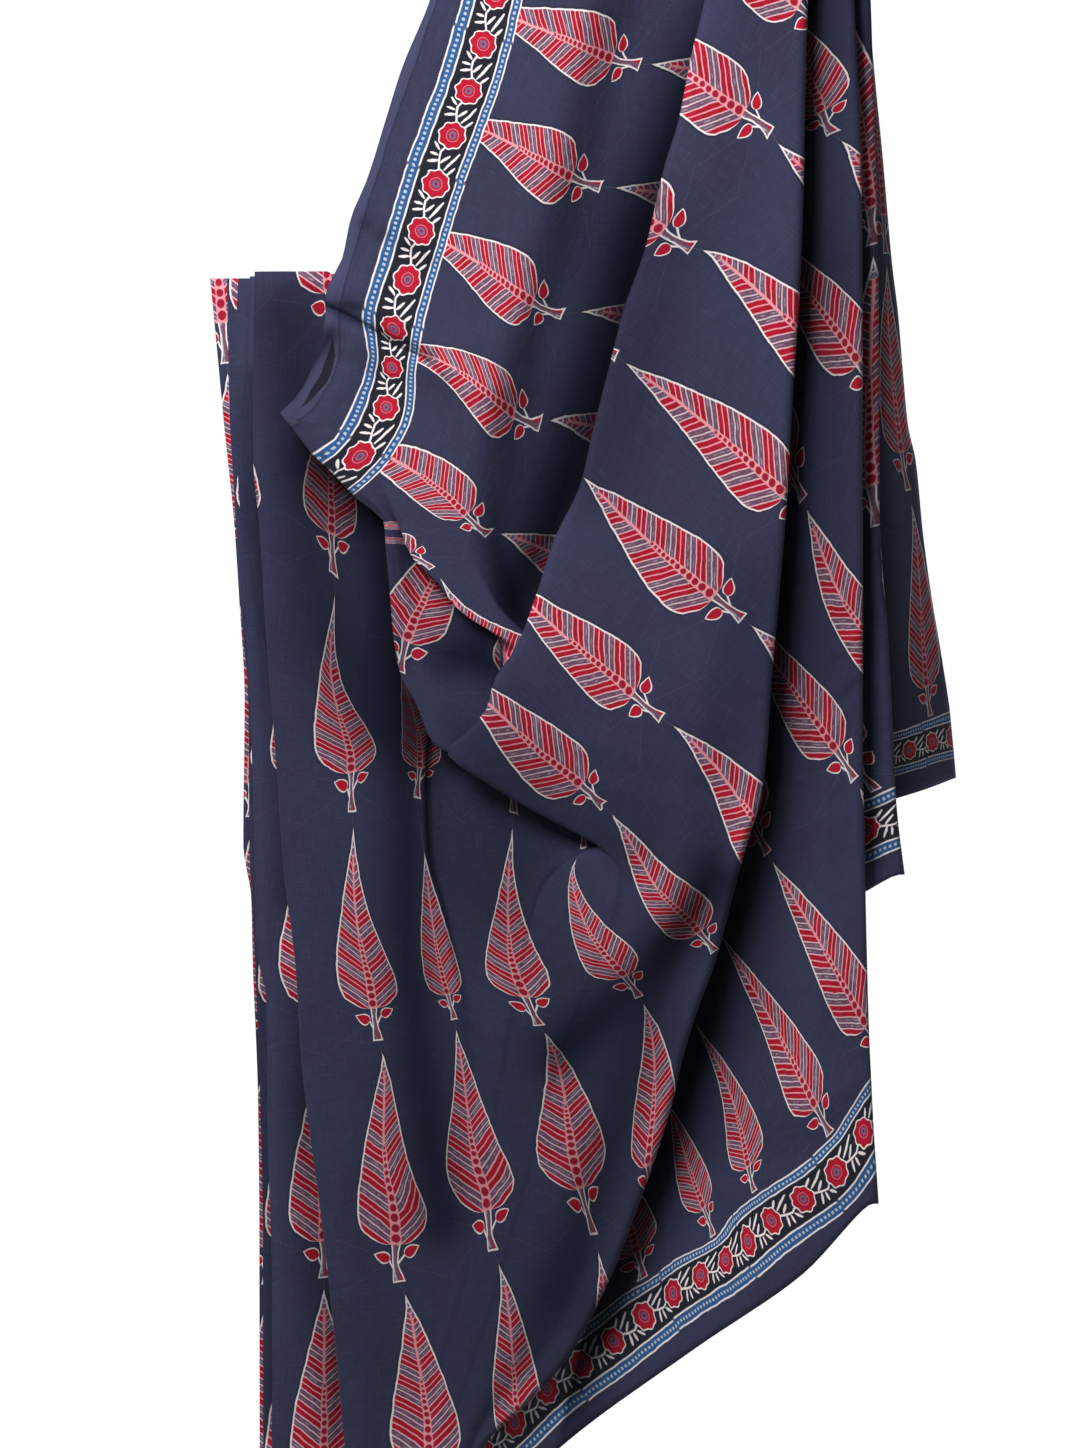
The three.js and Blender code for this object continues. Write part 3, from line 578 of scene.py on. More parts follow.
# the print laid through its points as a thin plate bends
def plateOf(points):
    table = np.array(points, float)
    where = table[:, :2] * mm
    value = table[:, 2:] * (printScale["chain"], 1) * mm
    gap = np.linalg.norm(where[:, None] - where[None], axis=2)
    count = len(where)
    system = np.zeros((count + 3, count + 3))
    system[:count, :count] = bendOf(gap) + printScale["stiffness"] * np.eye(count)
    system[:count, count:] = np.concatenate([np.ones((count, 1)), where], 1)
    system[count:, :count] = system[:count, count:].T
    weights = np.linalg.solve(system, np.concatenate([value, np.zeros((3, 2))]))

    def at(side, drop):
        spot = np.stack([side, drop], -1).reshape(-1, 2) * mm
        far = np.linalg.norm(spot[:, None] - where[None], axis=2)
        full = np.concatenate([bendOf(far), np.ones((len(spot), 1)), spot], 1)
        return (full @ weights).reshape(np.shape(side) + (2,))
    return at


plates = {name: plateOf([onCloth(*point) for point in points])
          for name, points in places.items()}

# The parts of the sheet whose print is set: first and last column, and the plate.
printedParts = [
    (columnNumber("panel edge", -1), columnNumber("panel turn", -1), "panel"),
    (columnNumber("drape edge", -1), columnNumber("sash turn", -1), "sash"),
    (columnNumber("front edge", -1), columnNumber("front turn", 1), "front"),
    (columnNumber("middle back"), columnNumber("middle turn", 1), "middle"),
    (columnNumber("second inner turn", 1), columnNumber("third turn", 1), "narrow"),
    (columnNumber("third inner turn", 1), columnNumber("free edge"), "back"),
]
pleatStarts = {"pleat 1": -6, "pleat 2": -27, "pleat 3": -39, "pleat 4": -58}


def printMap():
    side, drop = surface[..., 0], -surface[..., 2]
    along = distanceAlong()
    uv = np.full(surface.shape[:2] + (2,), np.nan)

    def printOf(name, where):
        return plates[name](side[where], drop[where])

    def overprint(name, where, opens):
        share = smooth(*opens, drop[where])[..., None]
        uv[where] = blend(share, uv[where], printOf(name, where))

    for first, last, name in printedParts:
        held = between(first, last)
        uv[held] = printOf(name, held)
    rolled = between(columnNumber("drape edge"), columnNumber("trough"))
    overprint("roll", rolled, printScale["rollOpens"])
    # the pleats behind the panel
    across = printOf("panel", np.searchsorted(marks, columnNumber("panel edge")))[:, 1]
    for number, (pleat, start) in enumerate(pleatStarts.items()):
        first = np.searchsorted(marks, columnNumber(pleat + " left", 1) - 1e-6)
        last = np.searchsorted(marks, columnNumber(pleat + " right", -1) + 1e-6)
        chain = (-2 * number - 6) * printScale["chain"]
        for c in range(first, last + 1):
            run = (along[c] - along[first]) * mm
            uv[c] = np.stack([(chain + start) * mm + run,
                              across + printScale["pleatSlant"] * run], -1)
    # what is folded away takes up what lies between
    known = ~np.isnan(uv[:, -1, 0])
    for c in np.flatnonzero(~known):
        before = np.flatnonzero(known[:c])
        b = c + np.flatnonzero(known[c:])[0]
        if len(before):
            a = before[-1]
            share = ((along[c] - along[a]) / (along[b] - along[a]))[:, None]
            uv[c] = blend(share, uv[a], uv[b])
        else:
            uv[c] = uv[b]
            uv[c, :, 0] -= (along[b] - along[c]) * mm
    # where the roll has closed, the panel's print runs on into the front's
    joint = between(columnNumber("panel turn", -1), columnNumber("front edge", -1))
    run = along[joint] - along[joint][0]
    joined = blend((run / run[-1])[..., None], printOf("panel", joint), printOf("front", joint))
    closed = smooth(*printScale["rollCloses"], drop[joint])[..., None]
    uv[joint] = blend(closed, uv[joint], joined)
    # at the bottom the middle's print shows past the end of the front
    shown = between(columnNumber("inner turn", 1), columnNumber("middle back"))
    overprint("middle", shown, printScale["middleOpens"])
    return uv


uvPlaces = printMap()


# a fold drawn along a path of (side, drop), from one line of the cloth to another
def fold(first, last, path, **form):
    low = min(i for i, c in enumerate(columns) if c["name"] == first)
    high = max(i for i, c in enumerate(columns) if c["name"] == last)
    return dict(form, low=low, high=high, path=path)


# A trough or a ridge has a width and a height; a ledge, where the cloth below a line lies on
# the cloth above it, has a rise and a reach.
creases = [
    fold("drape edge", "sash middle", [(-262, 291), (-250, 292), (-236, 298), (-221, 307),
        (-210, 314), (-191, 321), (-179, 327), (-165, 336), (-150, 350)], rise=8, reach=20),
    fold("drape edge", "sash middle", [(-250, 284), (-236, 291), (-220, 300), (-205, 309),
        (-188, 317)], width=5, height=-3),
    fold("drape edge", "sash middle", [(-236, 215), (-210, 236), (-189, 247), (-168, 259),
        (-150, 268)], width=5, height=-2.2),
    fold("drape edge", "sash middle", [(-270, 334), (-250, 327), (-232, 334), (-210, 348),
        (-196, 352)], width=5, height=-2),
    fold("trough", "sash shade", [(-165, 336), (-140, 346), (-118, 352), (-96, 350)],
        width=7, height=2),
    fold("trough", "sash shade", [(-158, 352), (-132, 362), (-104, 370)], width=8, height=-2),
    fold("trough", "sash shade", [(-152, 335), (-122, 385), (-94, 440), (-86, 480)],
        width=24, height=5),
    # the front
    fold("front edge", "front turn", [(-15, 502), (30, 525), (78, 555)], width=6, height=1.2),
    fold("front edge", "front turn", [(12, 700), (22, 645), (30, 585), (42, 540)],
        width=9, height=1.6),
    fold("front edge", "front turn", [(-60, 455), (-10, 470), (40, 492)], width=8, height=-1.0),
]

# Painted shade: the cloth is darkened in the hollows of the folds and beside and under them, where
# shade falls.
paintedShadeBands = [
    fold("sash middle", "sash turn", [(103, 0), (64, 60), (39, 105), (19, 154), (0, 202),
        (-15, 248), (-28, 300), (-45, 356), (-64, 412), (-90, 469), (-109, 510), (-120, 540)],
        width=33, depth=0.93),
    fold("sash middle", "sash turn", [(-15, 255), (-26, 300), (-42, 356), (-56, 412)],
        width=52, depth=0.36),
    fold("middle back", "middle turn", [(111, 0), (110, 60), (108, 150), (105, 270), (96, 398),
        (87, 525), (79, 622), (66, 698), (50, 758), (30, 825), (16, 878), (-3, 938), (-26, 1005),
        (-48, 1058), (-75, 1110)], width=30, depth=0.86),
    fold("middle back", "middle turn", [(105, 285), (94, 435), (84, 555), (68, 660), (42, 780),
        (15, 870)], width=62, depth=0.35),
    fold("panel edge", "panel turn", [(-156, 634), (-120, 660), (-90, 681), (-51, 699), (-15, 716),
        (40, 740), (90, 760)], width=34, depth=0.16),
    fold("panel valley", "panel turn", [(-142, 708), (-75, 735), (-15, 765), (60, 800)],
        width=60, depth=0.25),
    fold("panel edge", "panel turn", [(-258, 406), (-236, 435), (-208, 465), (-201, 510),
        (-196, 555), (-176, 615)], width=26, depth=0.8),
    fold("panel crown", "panel inner", [(-189, 450), (-184, 548), (-192, 645), (-192, 735),
        (-184, 818), (-174, 900), (-164, 975)], width=22, depth=0.68),
    fold("panel edge", "panel inner", [(-280, 300), (-268, 390), (-264, 470), (-244, 540),
        (-215, 600)], width=34, depth=0.6),
    fold("panel edge", "panel inner", [(-285, 560), (-258, 740), (-236, 900), (-212, 1120)],
        width=55, depth=0.22),
    fold("panel edge", "front turn", [(-120, 640), (-110, 760), (-115, 900), (-110, 1040),
        (-105, 1100)], width=85, depth=0.34),
    fold("panel edge", "front turn", [(-35, 860), (-50, 960), (-80, 1060)], width=45, depth=0.25),
    # the front's shaded side
    fold("front edge", "front valley", [(-2, 240), (-20, 310), (-40, 375), (-52, 415)],
        width=34, depth=0.36),
    fold("front edge", "front valley", [(-120, 640), (-70, 668), (-20, 680)], width=38, depth=0.25),
    fold("front ridge", "front turn", [(60, 500), (62, 560), (50, 620)], width=32, depth=0.3),
    fold("drape edge", "trough", [(-154, 551), (-135, 556), (-116, 561)], width=20, depth=0.75),
    fold("drape edge", "trough", [(-184, 471), (-165, 495), (-148, 518), (-135, 540)],
        width=14, depth=0.6),
    fold("drape edge", "trough", [(-196, 469), (-196, 510), (-194, 555)], width=10, depth=0.4),
    fold("panel inner", "front turn", [(45, 720), (9, 761), (-34, 810), (-75, 848)],
        width=24, depth=0.75),
    fold("front edge", "front turn", [(30, 758), (0, 848), (-30, 922), (-75, 1028)],
        width=20, depth=0.3),
    fold("pleat 1 left", "pleat 4 right", [(-254, 810), (-261, 885), (-254, 960), (-248, 1035),
        (-236, 1140)], width=20, depth=0.75),
    fold("pleat 3 left", "pleat 4 right", [(-298, 345), (-303, 435), (-291, 540), (-280, 630),
        (-274, 735)], width=13, depth=0.7),
    fold("pleat 2 left", "pleat 2 right", [(-306, 285), (-308, 435), (-303, 585), (-298, 810),
        (-291, 1140)], width=7, depth=0.5),
    fold("pleat 1 left", "pleat 1 right", [(-316, 285), (-312, 435), (-308, 585), (-303, 810),
        (-292, 1140)], width=6, depth=0.4),
    fold("second inner turn", "third turn", [(142, 0), (144, 135), (151, 285), (151, 510),
        (153, 698)], width=15, depth=0.75),
    fold("third inner turn", "free edge", [(158, 60), (164, 210), (165, 398), (172, 585),
        (178, 660)], width=10, depth=0.6),
    fold("drape edge", "sash middle", [(-250, 289), (-236, 295), (-221, 304), (-206, 312),
        (-188, 319), (-172, 328)], width=4.5, depth=0.7),
    fold("drape edge", "sash middle", [(-226, 225), (-210, 236), (-189, 247), (-172, 257)],
        width=4, depth=0.45),
    fold("drape edge", "trough", [(-246, 312), (-256, 326), (-268, 343), (-277, 358)],
        width=6, depth=0.75),
    fold("under layer", "under layer", [(-172, 285), (-236, 345), (-270, 375)],
        width=60, depth=0.6),
]


def pathGap(path, side, drop):
    best = np.full(side.shape, 1e9)
    for (x0, d0), (x1, d1) in zip(path, path[1:]):
        run = (x1 - x0) ** 2 + (d1 - d0) ** 2
        t = np.clip(((side - x0) * (x1 - x0) + (drop - d0) * (d1 - d0)) / run, 0, 1)
        best = np.minimum(best, np.hypot(side - x0 - t * (x1 - x0), drop - d0 - t * (d1 - d0)))
    return best


def reachOf(form, width, side, drop):
    return np.exp(-(pathGap(form["path"], side, drop) / form[width]) ** 2)


def creaseLift(side, drop):
    lift = np.zeros(side.shape)
    for crease in creases:
        low, high = crease["low"], crease["high"]
        held = smooth(low - 0.9, low + 0.1, marks) * (1 - smooth(high - 1.0, high + 0.5, marks))
        if "rise" in crease:
            across, down = np.array(crease["path"], float).T
            ledge = smooth(-2.5, 2.5, drop - np.interp(side, across, down))
            form = crease["rise"] * ledge * reachOf(crease, "reach", side, drop)
        else:
            form = crease["height"] * reachOf(crease, "width", side, drop)
        lift += form * held[:, None]
    return lift


# the painted shade: the share of the cloth's own colour left at each point once the hollows are
# darkened
def paintedShadeTone():
    side, drop = surface[..., 0], -surface[..., 2]
    left = np.ones(side.shape)
    for hollow in paintedShadeBands:
        held = between(hollow["low"], hollow["high"])[:, None]
        left *= 1 - hollow["depth"] * reachOf(hollow, "width", side, drop) * held
    return left


# The unevenness of the hang: its lengths along the cloth and down it, and how far it swings.
hang = {
    "broad": {"seed": 3, "along": 24, "down": 60, "swing": 0.8},
    "fine": {"seed": 7, "along": 8, "down": 16, "swing": 0.22},
    "waves": 9,
    "pitch": (0.7, 1.5),
    "hiddenShare": 0.25,
}


def softNoise(x, z, seed):
    chance = np.random.default_rng(seed)
    total = np.zeros(np.shape(x))
    for _ in range(hang["waves"]):
        angle, phase = chance.uniform(0, 2 * math.pi, 2)
        pitch = chance.uniform(*hang["pitch"])
        total += np.sin((x * math.cos(angle) + z * math.sin(angle)) * pitch + phase)
    return total / math.sqrt(hang["waves"])


surface[..., 1] -= creaseLift(surface[..., 0], -surface[..., 2])
clothRun, clothDrop = distanceAlong(), -surface[..., 2]
amount = np.where(marks < columnNumber("panel edge"), hang["hiddenShare"], 1.0)[:, None]
for part in (hang["broad"], hang["fine"]):
    wave = softNoise(clothRun / part["along"], clothDrop / part["down"], part["seed"])
    surface[..., 1] += amount * part["swing"] * wave


def makeSheet():
    count = surface.shape[1]
    faces, used = [], np.zeros(surface.shape[:2], bool)
    for c in range(len(marks) - 1):
        top = stripTopOf(int(marks[c]))
        used[c:c + 2, top:] = True
        for r in range(top, count - 1):
            a = c * count + r
            faces.append((a, a + 1, a + count + 1, a + count))
    used = used.ravel()
    number = np.full(used.size, -1)
    number[used] = np.arange(used.sum())
    mesh = bpy.data.meshes.new("ajrakh_sheet")
    mesh.from_pydata((surface.reshape(-1, 3)[used] * mm).tolist(), [],
                     number[np.array(faces)].tolist())
    layer = mesh.uv_layers.new(name="cloth")
    loops = np.zeros(len(mesh.loops), int)
    mesh.loops.foreach_get("vertex_index", loops)
    uvs = uvPlaces.reshape(-1, 2)[used]
    layer.data.foreach_set("uv", uvs[loops].astype(np.float32).ravel())
    # the painted shade of the hollows, kept on the points as "hollow"
    shade = mesh.attributes.new("hollow", "FLOAT", "POINT")
    shade.data.foreach_set("value", paintedShadeTone().ravel()[used].astype(np.float32))
    mesh.polygons.foreach_set("use_smooth", [True] * len(mesh.polygons))
    mesh.update()
    cloth = bpy.data.objects.new("ajrakh_cloth", mesh)
    bpy.context.scene.collection.objects.link(cloth)
    return cloth


cloth = makeSheet()
bpy.ops.object.select_all(action="DESELECT")
cloth.select_set(True)
bpy.context.view_layer.objects.active = cloth
solid = cloth.modifiers.new("thickness", "SOLIDIFY")
solid.thickness = sheet["thickness"] * mm
solid.offset = 0
solid.use_even_offset = False
solid.material_offset = 1
bpy.ops.object.modifier_apply(modifier="thickness")
cloth.select_set(False)
print("sheet mesh:", len(cloth.data.polygons), "faces")


class Value:
    def __init__(self, graph, socket):
        self.graph, self.socket = graph, socket

    def maths(self, operation, *others):
        return self.graph.maths(operation, self, *others)

    def __add__(self, other):
        return self.maths("ADD", other)

    def __sub__(self, other):
        return self.maths("SUBTRACT", other)

    def __rsub__(self, other):
        return self.graph.maths("SUBTRACT", other, self)

    def __mul__(self, other):
        return self.maths("MULTIPLY", other)

    def __truediv__(self, other):
        return self.maths("DIVIDE", other)

    def __rtruediv__(self, other):
        return self.graph.maths("DIVIDE", other, self)

    def __mod__(self, other):
        return self.maths("FLOORED_MODULO", other)

    def __abs__(self):
        return self.maths("ABSOLUTE")

    __radd__, __rmul__ = __add__, __mul__


class Graph:
    def __init__(self, owner):
        self.owner = owner
        owner.use_nodes = True
        self.tree = owner.node_tree
        self.tree.nodes.clear()

    def node(self, kind, settings=None, inputs=None, output=0):
        made = self.tree.nodes.new(kind)
        for key, value in (settings or {}).items():
            if key == "points":
                curve = made.mapping.curves[0]
                for point, place in zip(curve.points, (value[0], value[-1])):
                    point.location = place
                for x, y in value[1:-1]:
                    curve.points.new(x, y)
                made.mapping.update()
            else:
                setattr(made, key, value)
        for key, value in (inputs or {}).items():
            if isinstance(value, Value):
                self.tree.links.new(value.socket, made.inputs[key])
            else:
                made.inputs[key].default_value = value
        return Value(self, made.outputs[output]) if len(made.outputs) else None

    def maths(self, operation, *values):
        return self.node("ShaderNodeMath", {"operation": operation}, dict(enumerate(values)))

    def least(self, *values):
        return self.maths("MINIMUM", *values)

    def most(self, *values):
        return self.maths("MAXIMUM", *values)

    def length(self, x, y):
        return (x * x + y * y).maths("SQRT")

    def clamp(self, value, low=0.0, high=1.0):
        return self.node("ShaderNodeClamp", None, {0: value, 1: low, 2: high})

    def curve(self, points, value):
        return self.node("ShaderNodeFloatCurve", {"points": points}, {1: self.clamp(value)})

    def smooth(self, start, end, value):
        return self.node("ShaderNodeMapRange", {"interpolation_type": "SMOOTHSTEP"},
                         {0: value, 1: start, 2: end, 3: 0.0, 4: 1.0})

    def strip(self, low, high, value, outer=0.15, inner=0.15):
        return (self.smooth(low - outer, low + inner, value)
                * self.smooth(high + outer, high - inner, value))

    def mix(self, share, under, over):
        return self.node("ShaderNodeMix", {"data_type": "RGBA"},
                         {0: share, 6: under, 7: over}, 2)

    def noise(self, place, scale, detail=2.0, rough=0.5):
        return self.node("ShaderNodeTexNoise", None,
                         {"Vector": place, "Scale": scale, "Detail": detail,
                          "Roughness": rough})

    def stretched(self, place, scale, detail=2.0, rough=0.5, turn=0.0):
        place = self.node("ShaderNodeMapping", None,
                          {0: place, 2: (0.0, 0.0, turn), 3: scale + (1.0,)})
        return self.noise(place, 1.0, detail, rough)

    def segmentGap(self, x, y, start, end):
        dx, dy = end[0] - start[0], end[1] - start[1]
        run = dx * dx + dy * dy
        t = self.clamp(((x - start[0]) * dx + (y - start[1]) * dy) / run)
        return self.length(x - start[0] - t * dx, y - start[1] - t * dy), t


def tone(red, green, blue):
    linear = [c / 255 / 12.92 if c / 255 <= 0.04045 else ((c / 255 + 0.055) / 1.055) ** 2.4
              for c in (red, green, blue)]
    return (*linear, 1.0)


dyesAndPaintedShades = {
    "ground": tone(51, 54, 83),
    "groundDeep": tone(46, 45, 70),
    "groundWorn": tone(70, 73, 104),
    # not dyes: the dark of the painted shade in the hollows and of the tuck's painted shadow
    "hollow": tone(7, 9, 17),
    "tuckShadow": tone(12, 12, 22),
    "red": tone(186, 12, 46),
    "redDeep": tone(148, 6, 30),
    "redLine": tone(248, 166, 178),
    "rib": tone(240, 156, 164),
    "ribDot": tone(160, 16, 48),
    "petalRing": tone(214, 120, 140),
    "slate": tone(112, 76, 98),
    "slateWorn": tone(196, 184, 200),
    "slateLine": tone(230, 204, 214),
    "stemWorn": tone(205, 200, 215),
    "pale": tone(252, 240, 240),
    "blue": tone(50, 97, 150),
    "blueDeep": tone(36, 74, 128),
    "bead": tone(206, 214, 226),
    "black": tone(26, 28, 40),
    "violet": tone(120, 96, 132),
}

weave = {
    "waver": 75.0,  # the blocks' lines are never quite straight
    "waverReach": 2.2,
    "grain": 900.0,
    "patch": 160.0,
    "blotch": 7.0,
    "threads": [(60.0, 1500.0), (1500.0, 60.0)],
    "crinkle": (40.0, 170.0),
    "crinkleTurn": 0.6,
    "relief": 0.0016,
}

leaf = {
    "length": 138.0,
    "halfWidth": 25.5,
    "profile": [(0, 0), (0.10, 0.14), (0.22, 0.33), (0.35, 0.50), (0.49, 0.69), (0.63, 0.86),
                (0.77, 0.98), (0.85, 1.0), (0.91, 0.925), (0.95, 0.74), (0.99, 0.41), (1, 0)],
    "barPitch": 5.2,
    "barSlant": 0.82,
    "barGroup": 4,  # two red bars, then two slate ones
    "dotsFrom": 75.0,
    "dotGrowth": 0.016,
    "dotPitch": 0.267,
    "dotSpread": 16.7,
    "dotRadius": (1.1, 0.033),  # at the first dot, and what it gains on the way down
    "stemEnd": 163.5,
    "stemHalfWidth": 4.7,
    "stemWidths": [(0, 0.68), (0.3, 0.52), (0.6, 0.56), (0.85, 0.8), (1, 1.0)],
    "buds": [(-9.9, 145.6, -1), (12.0, 142.0, 1)],
    "budTilt": 24.0,
    "budSize": (6.3, 4.2),
}

border = {
    "hem": 9.0,
    "lines": [(26.25, 27.45), (34.9, 36.15), (65.25, 66.45), (72.75, 74.0)],
    "beads": [(27.45, 34.9), (66.45, 72.75)],
    "band": (36.15, 65.35),
    "fieldFrom": (73.8, 74.1),
    "beadPitch": 4.0,
    "flowerLine": 51.0,
    "flowerPitch": 36.75,
    "flowerRadius": 9.75,
    "petals": 8,
    "width": 1133.25,
    "block": 3,  # flowers to a block, and how far one block stands off the next
    "blockStart": 0.27,
    "blockShift": 0.8,
    "vine": [(9.0, -1.3), (14.25, -3.9), (19.3, -3.2), (26.25, -0.9), (29.5, 0.2)],
    # centre, direction in degrees, length
    "sprigs": [((10.7, -8.0), 52, 6.4), ((17.1, -8.2), 91, 5.7), ((22.0, -7.4), 110, 7.4),
               ((18.4, 1.3), 143, 7.5), ((18.6, 6.8), 153, 15.6), ((25.6, 8.8), 143, 7.1)],
}

# The tuck's fold line, as its place along the border against the distance from the edge, and
# the middle and half length of the opening beside it.
tuck = {
    "start": 575.0,
    "lift": 60.0,
    "width": 118.0,
    "line": [(0, 0.80), (0.22, 0.73), (0.42, 0.57), (0.63, 0.52), (0.76, 0.42), (1, 0.25)],
    "shadowReach": 6.0,
    "gap": (565.0, 33.0),
    "gapLine": 4.6,
    "gapHalfWidth": 2.4,
}


# the leaf's blade in its own coordinates: p across from the midrib, q down from the tip
def leafBlade(g, p, q, grain, patch):
    away = abs(p)
    inside = g.curve(leaf["profile"], q / leaf["length"]) * leaf["halfWidth"] - away
    body = g.smooth(-0.15, 0.35, inside)
    halo = g.smooth(-2.2, -0.4, inside) * g.smooth(leaf["length"] + 4, leaf["length"], q)

    bar = (q + away * leaf["barSlant"]) / leaf["barPitch"] + 1.0
    slateTurn = g.smooth(1.4, 1.6, bar.maths("FLOOR") % leaf["barGroup"])
    fromMiddle = abs(bar.maths("FRACT") - 0.5)
    lineShare = g.smooth(0.355, 0.42, fromMiddle + (grain - 0.5) * 0.10) * 0.92
    worn = g.smooth(0.20, 0.02, fromMiddle) * g.smooth(0.44, 0.66, patch) * 0.6
    redBar = g.mix(g.smooth(0.35, 0.75, patch), dyesAndPaintedShades["red"], dyesAndPaintedShades["redDeep"])
    bars = g.mix(slateTurn, redBar, g.mix(worn, dyesAndPaintedShades["slate"], dyesAndPaintedShades["slateWorn"]))
    tipShade = g.smooth(34, 8, q) * g.smooth(0.42, 0.55, patch)
    colour = g.mix(lineShare, g.mix(tipShade * 0.8, bars, dyesAndPaintedShades["blue"]),
                   g.mix(slateTurn, dyesAndPaintedShades["redLine"], dyesAndPaintedShades["slateLine"]))

    # midrib: a line, then a channel of dots that grow towards the stem
    past = g.most(q - leaf["dotsFrom"], 0.0)
    growth = past * leaf["dotGrowth"] + 1.0
    number = growth.maths("LOGARITHM", math.e) * leaf["dotSpread"]
    gap = (number - (number + 0.5).maths("FLOOR")) * growth / leaf["dotPitch"]
    radius = past * leaf["dotRadius"][1] + leaf["dotRadius"][0]
    started = g.smooth(leaf["dotsFrom"] - 2, leaf["dotsFrom"], q)
    channel = g.smooth(0.2, -0.2, away - radius - 0.75) * started
    rib = g.smooth(1.25, 0.75, away) * g.smooth(10, 20, q)
    dots = g.smooth(0.2, -0.25, g.length(p, gap) - radius) * started
    colour = g.mix(g.most(channel, rib * (1 - started)), colour,
                   g.mix(dots, dyesAndPaintedShades["rib"], dyesAndPaintedShades["ribDot"]))
    edge = g.smooth(1.6, 1.1, inside + (grain - 0.5) * 0.5)
    return body, halo, g.mix(edge * 0.95, colour, dyesAndPaintedShades["pale"])


def leafStem(g, p, q, patch):
    below = q - leaf["length"]
    stemLength = leaf["stemEnd"] - leaf["length"]
    halfWidth = g.curve(leaf["stemWidths"], below / stemLength) * leaf["stemHalfWidth"]
    inside = g.least(halfWidth - abs(p), g.least(leaf["stemEnd"] - q, below + 1.2))
    colour = g.mix(g.smooth(0.9, 1.6, p) * g.smooth(4, 8, below), dyesAndPaintedShades["slate"], dyesAndPaintedShades["red"])
    worn = g.smooth(1.1, 0.2, abs(p + 1.6)) * g.smooth(0.4, 0.6, patch) * 0.8
    colour = g.mix(worn, colour, dyesAndPaintedShades["stemWorn"])
    return g.smooth(-0.15, 0.3, inside), g.mix(g.smooth(1.25, 0.85, inside), colour, dyesAndPaintedShades["pale"])


def leafBuds(g, p, q):
    tilt = math.radians(leaf["budTilt"])
    halfLength, halfWidth = leaf["budSize"]
    masks, twigs, colours = [], [], []
    for x, y, turn in leaf["buds"]:
        dx, dy = (p - x) * turn, y - q
        along = (dx * math.cos(tilt) + dy * math.sin(tilt)) / halfLength
        held = g.clamp(along, -1.0, 1.0)
        half = (held + 1.0).maths("SQRT") * (1.0 - held) * halfWidth
        inside = half - abs(dy * math.cos(tilt) - dx * math.sin(tilt))
        twigGap, _ = g.segmentGap(p, q, (x - 4.8 * turn, y + 1.4), (2.2 * turn, y + 8.5))
        masks.append(g.smooth(-0.1, 0.3, inside))
        twigs.append(g.smooth(0.85, 0.45, twigGap))
        colours.append(g.mix(g.smooth(1.25, 0.8, inside), dyesAndPaintedShades["red"], dyesAndPaintedShades["pale"]))
    return g.most(*masks), g.most(*twigs), g.mix(g.smooth(0.0, 0.01, p), *colours)


# the border's black band: its vine and sprigs, then the flowers over them
def borderBand(g, cloths, u, y, inBand, grain):
    turn = u / border["flowerPitch"]
    x = (turn - (turn + 0.5).maths("FLOOR")) * border["flowerPitch"] * -1.0
    ahead = x % border["flowerPitch"]
    whites = []
    for start, end in zip(border["vine"], border["vine"][1:]):
        whites.append(g.segmentGap(ahead, y, start, end)[0] - 0.75)
    for (cx, cy), degrees, length in border["sprigs"]:
        dx = math.cos(math.radians(degrees)) * length / 2
        dy = math.sin(math.radians(degrees)) * length / 2
        gap, t = g.segmentGap(ahead, y, (cx - dx, cy - dy), (cx + dx, cy + dy))
        whites.append(gap - 0.55 - (t - t * t) * 1.8)
    while len(whites) > 1:
        whites[:2] = [g.least(*whites[:2])]
    sprig = g.smooth(0.25, -0.2, whites[0] + (grain - 0.5) * 0.4)
    cloths = g.mix(sprig * inBand, cloths, dyesAndPaintedShades["pale"])
    radial = g.length(x, y)
    petals = (y.maths("ARCTAN2", x) * border["petals"]).maths("COSINE")
    rim = radial - border["flowerRadius"] - petals * 0.6
    flower = g.mix(g.smooth(0.5, 0.1, abs(radial - 4.6)), dyesAndPaintedShades["red"], dyesAndPaintedShades["petalRing"])
    flower = g.mix(g.smooth(3.2, 2.8, radial), flower, dyesAndPaintedShades["violet"])
    flower = g.mix(g.smooth(1.2, 0.8, radial), flower, dyesAndPaintedShades["redDeep"])
    flower = g.mix(g.smooth(-0.35, 0.1, rim), flower, dyesAndPaintedShades["pale"])
    return g.mix(g.smooth(1.05, 0.75, rim) * inBand, cloths, flower)


def borderStrips(g, cloths, u, fromEdge, joint, patch):
    for low, high in border["beads"]:
        blue = g.mix(g.smooth(0.4, 0.7, patch) * 0.5, dyesAndPaintedShades["blue"], dyesAndPaintedShades["blueDeep"])
        cloths = g.mix(g.strip(low, high, fromEdge), cloths, blue)
        bead = abs((u / border["beadPitch"]).maths("FRACT") - 0.5) * border["beadPitch"]
        beads = (g.smooth(1.15, 0.85, bead)
                 * g.smooth(1.25, 0.95, abs(fromEdge - (low + high) / 2)))
        cloths = g.mix(beads * 0.85, cloths, dyesAndPaintedShades["bead"])
    for low, high in border["lines"]:
        strip = g.strip(low, high, fromEdge, 0.2, 0.1)
        cloths = g.mix(strip * (0.95 - joint * 0.8), cloths, dyesAndPaintedShades["pale"])
    hem = border["hem"]
    cloths = g.mix(g.smooth(hem, hem - 0.8, fromEdge) * 0.5, cloths, dyesAndPaintedShades["groundWorn"])
    return g.mix(g.smooth(0.9, 0.4, abs(fromEdge - hem)) * 0.4, cloths, dyesAndPaintedShades["black"])


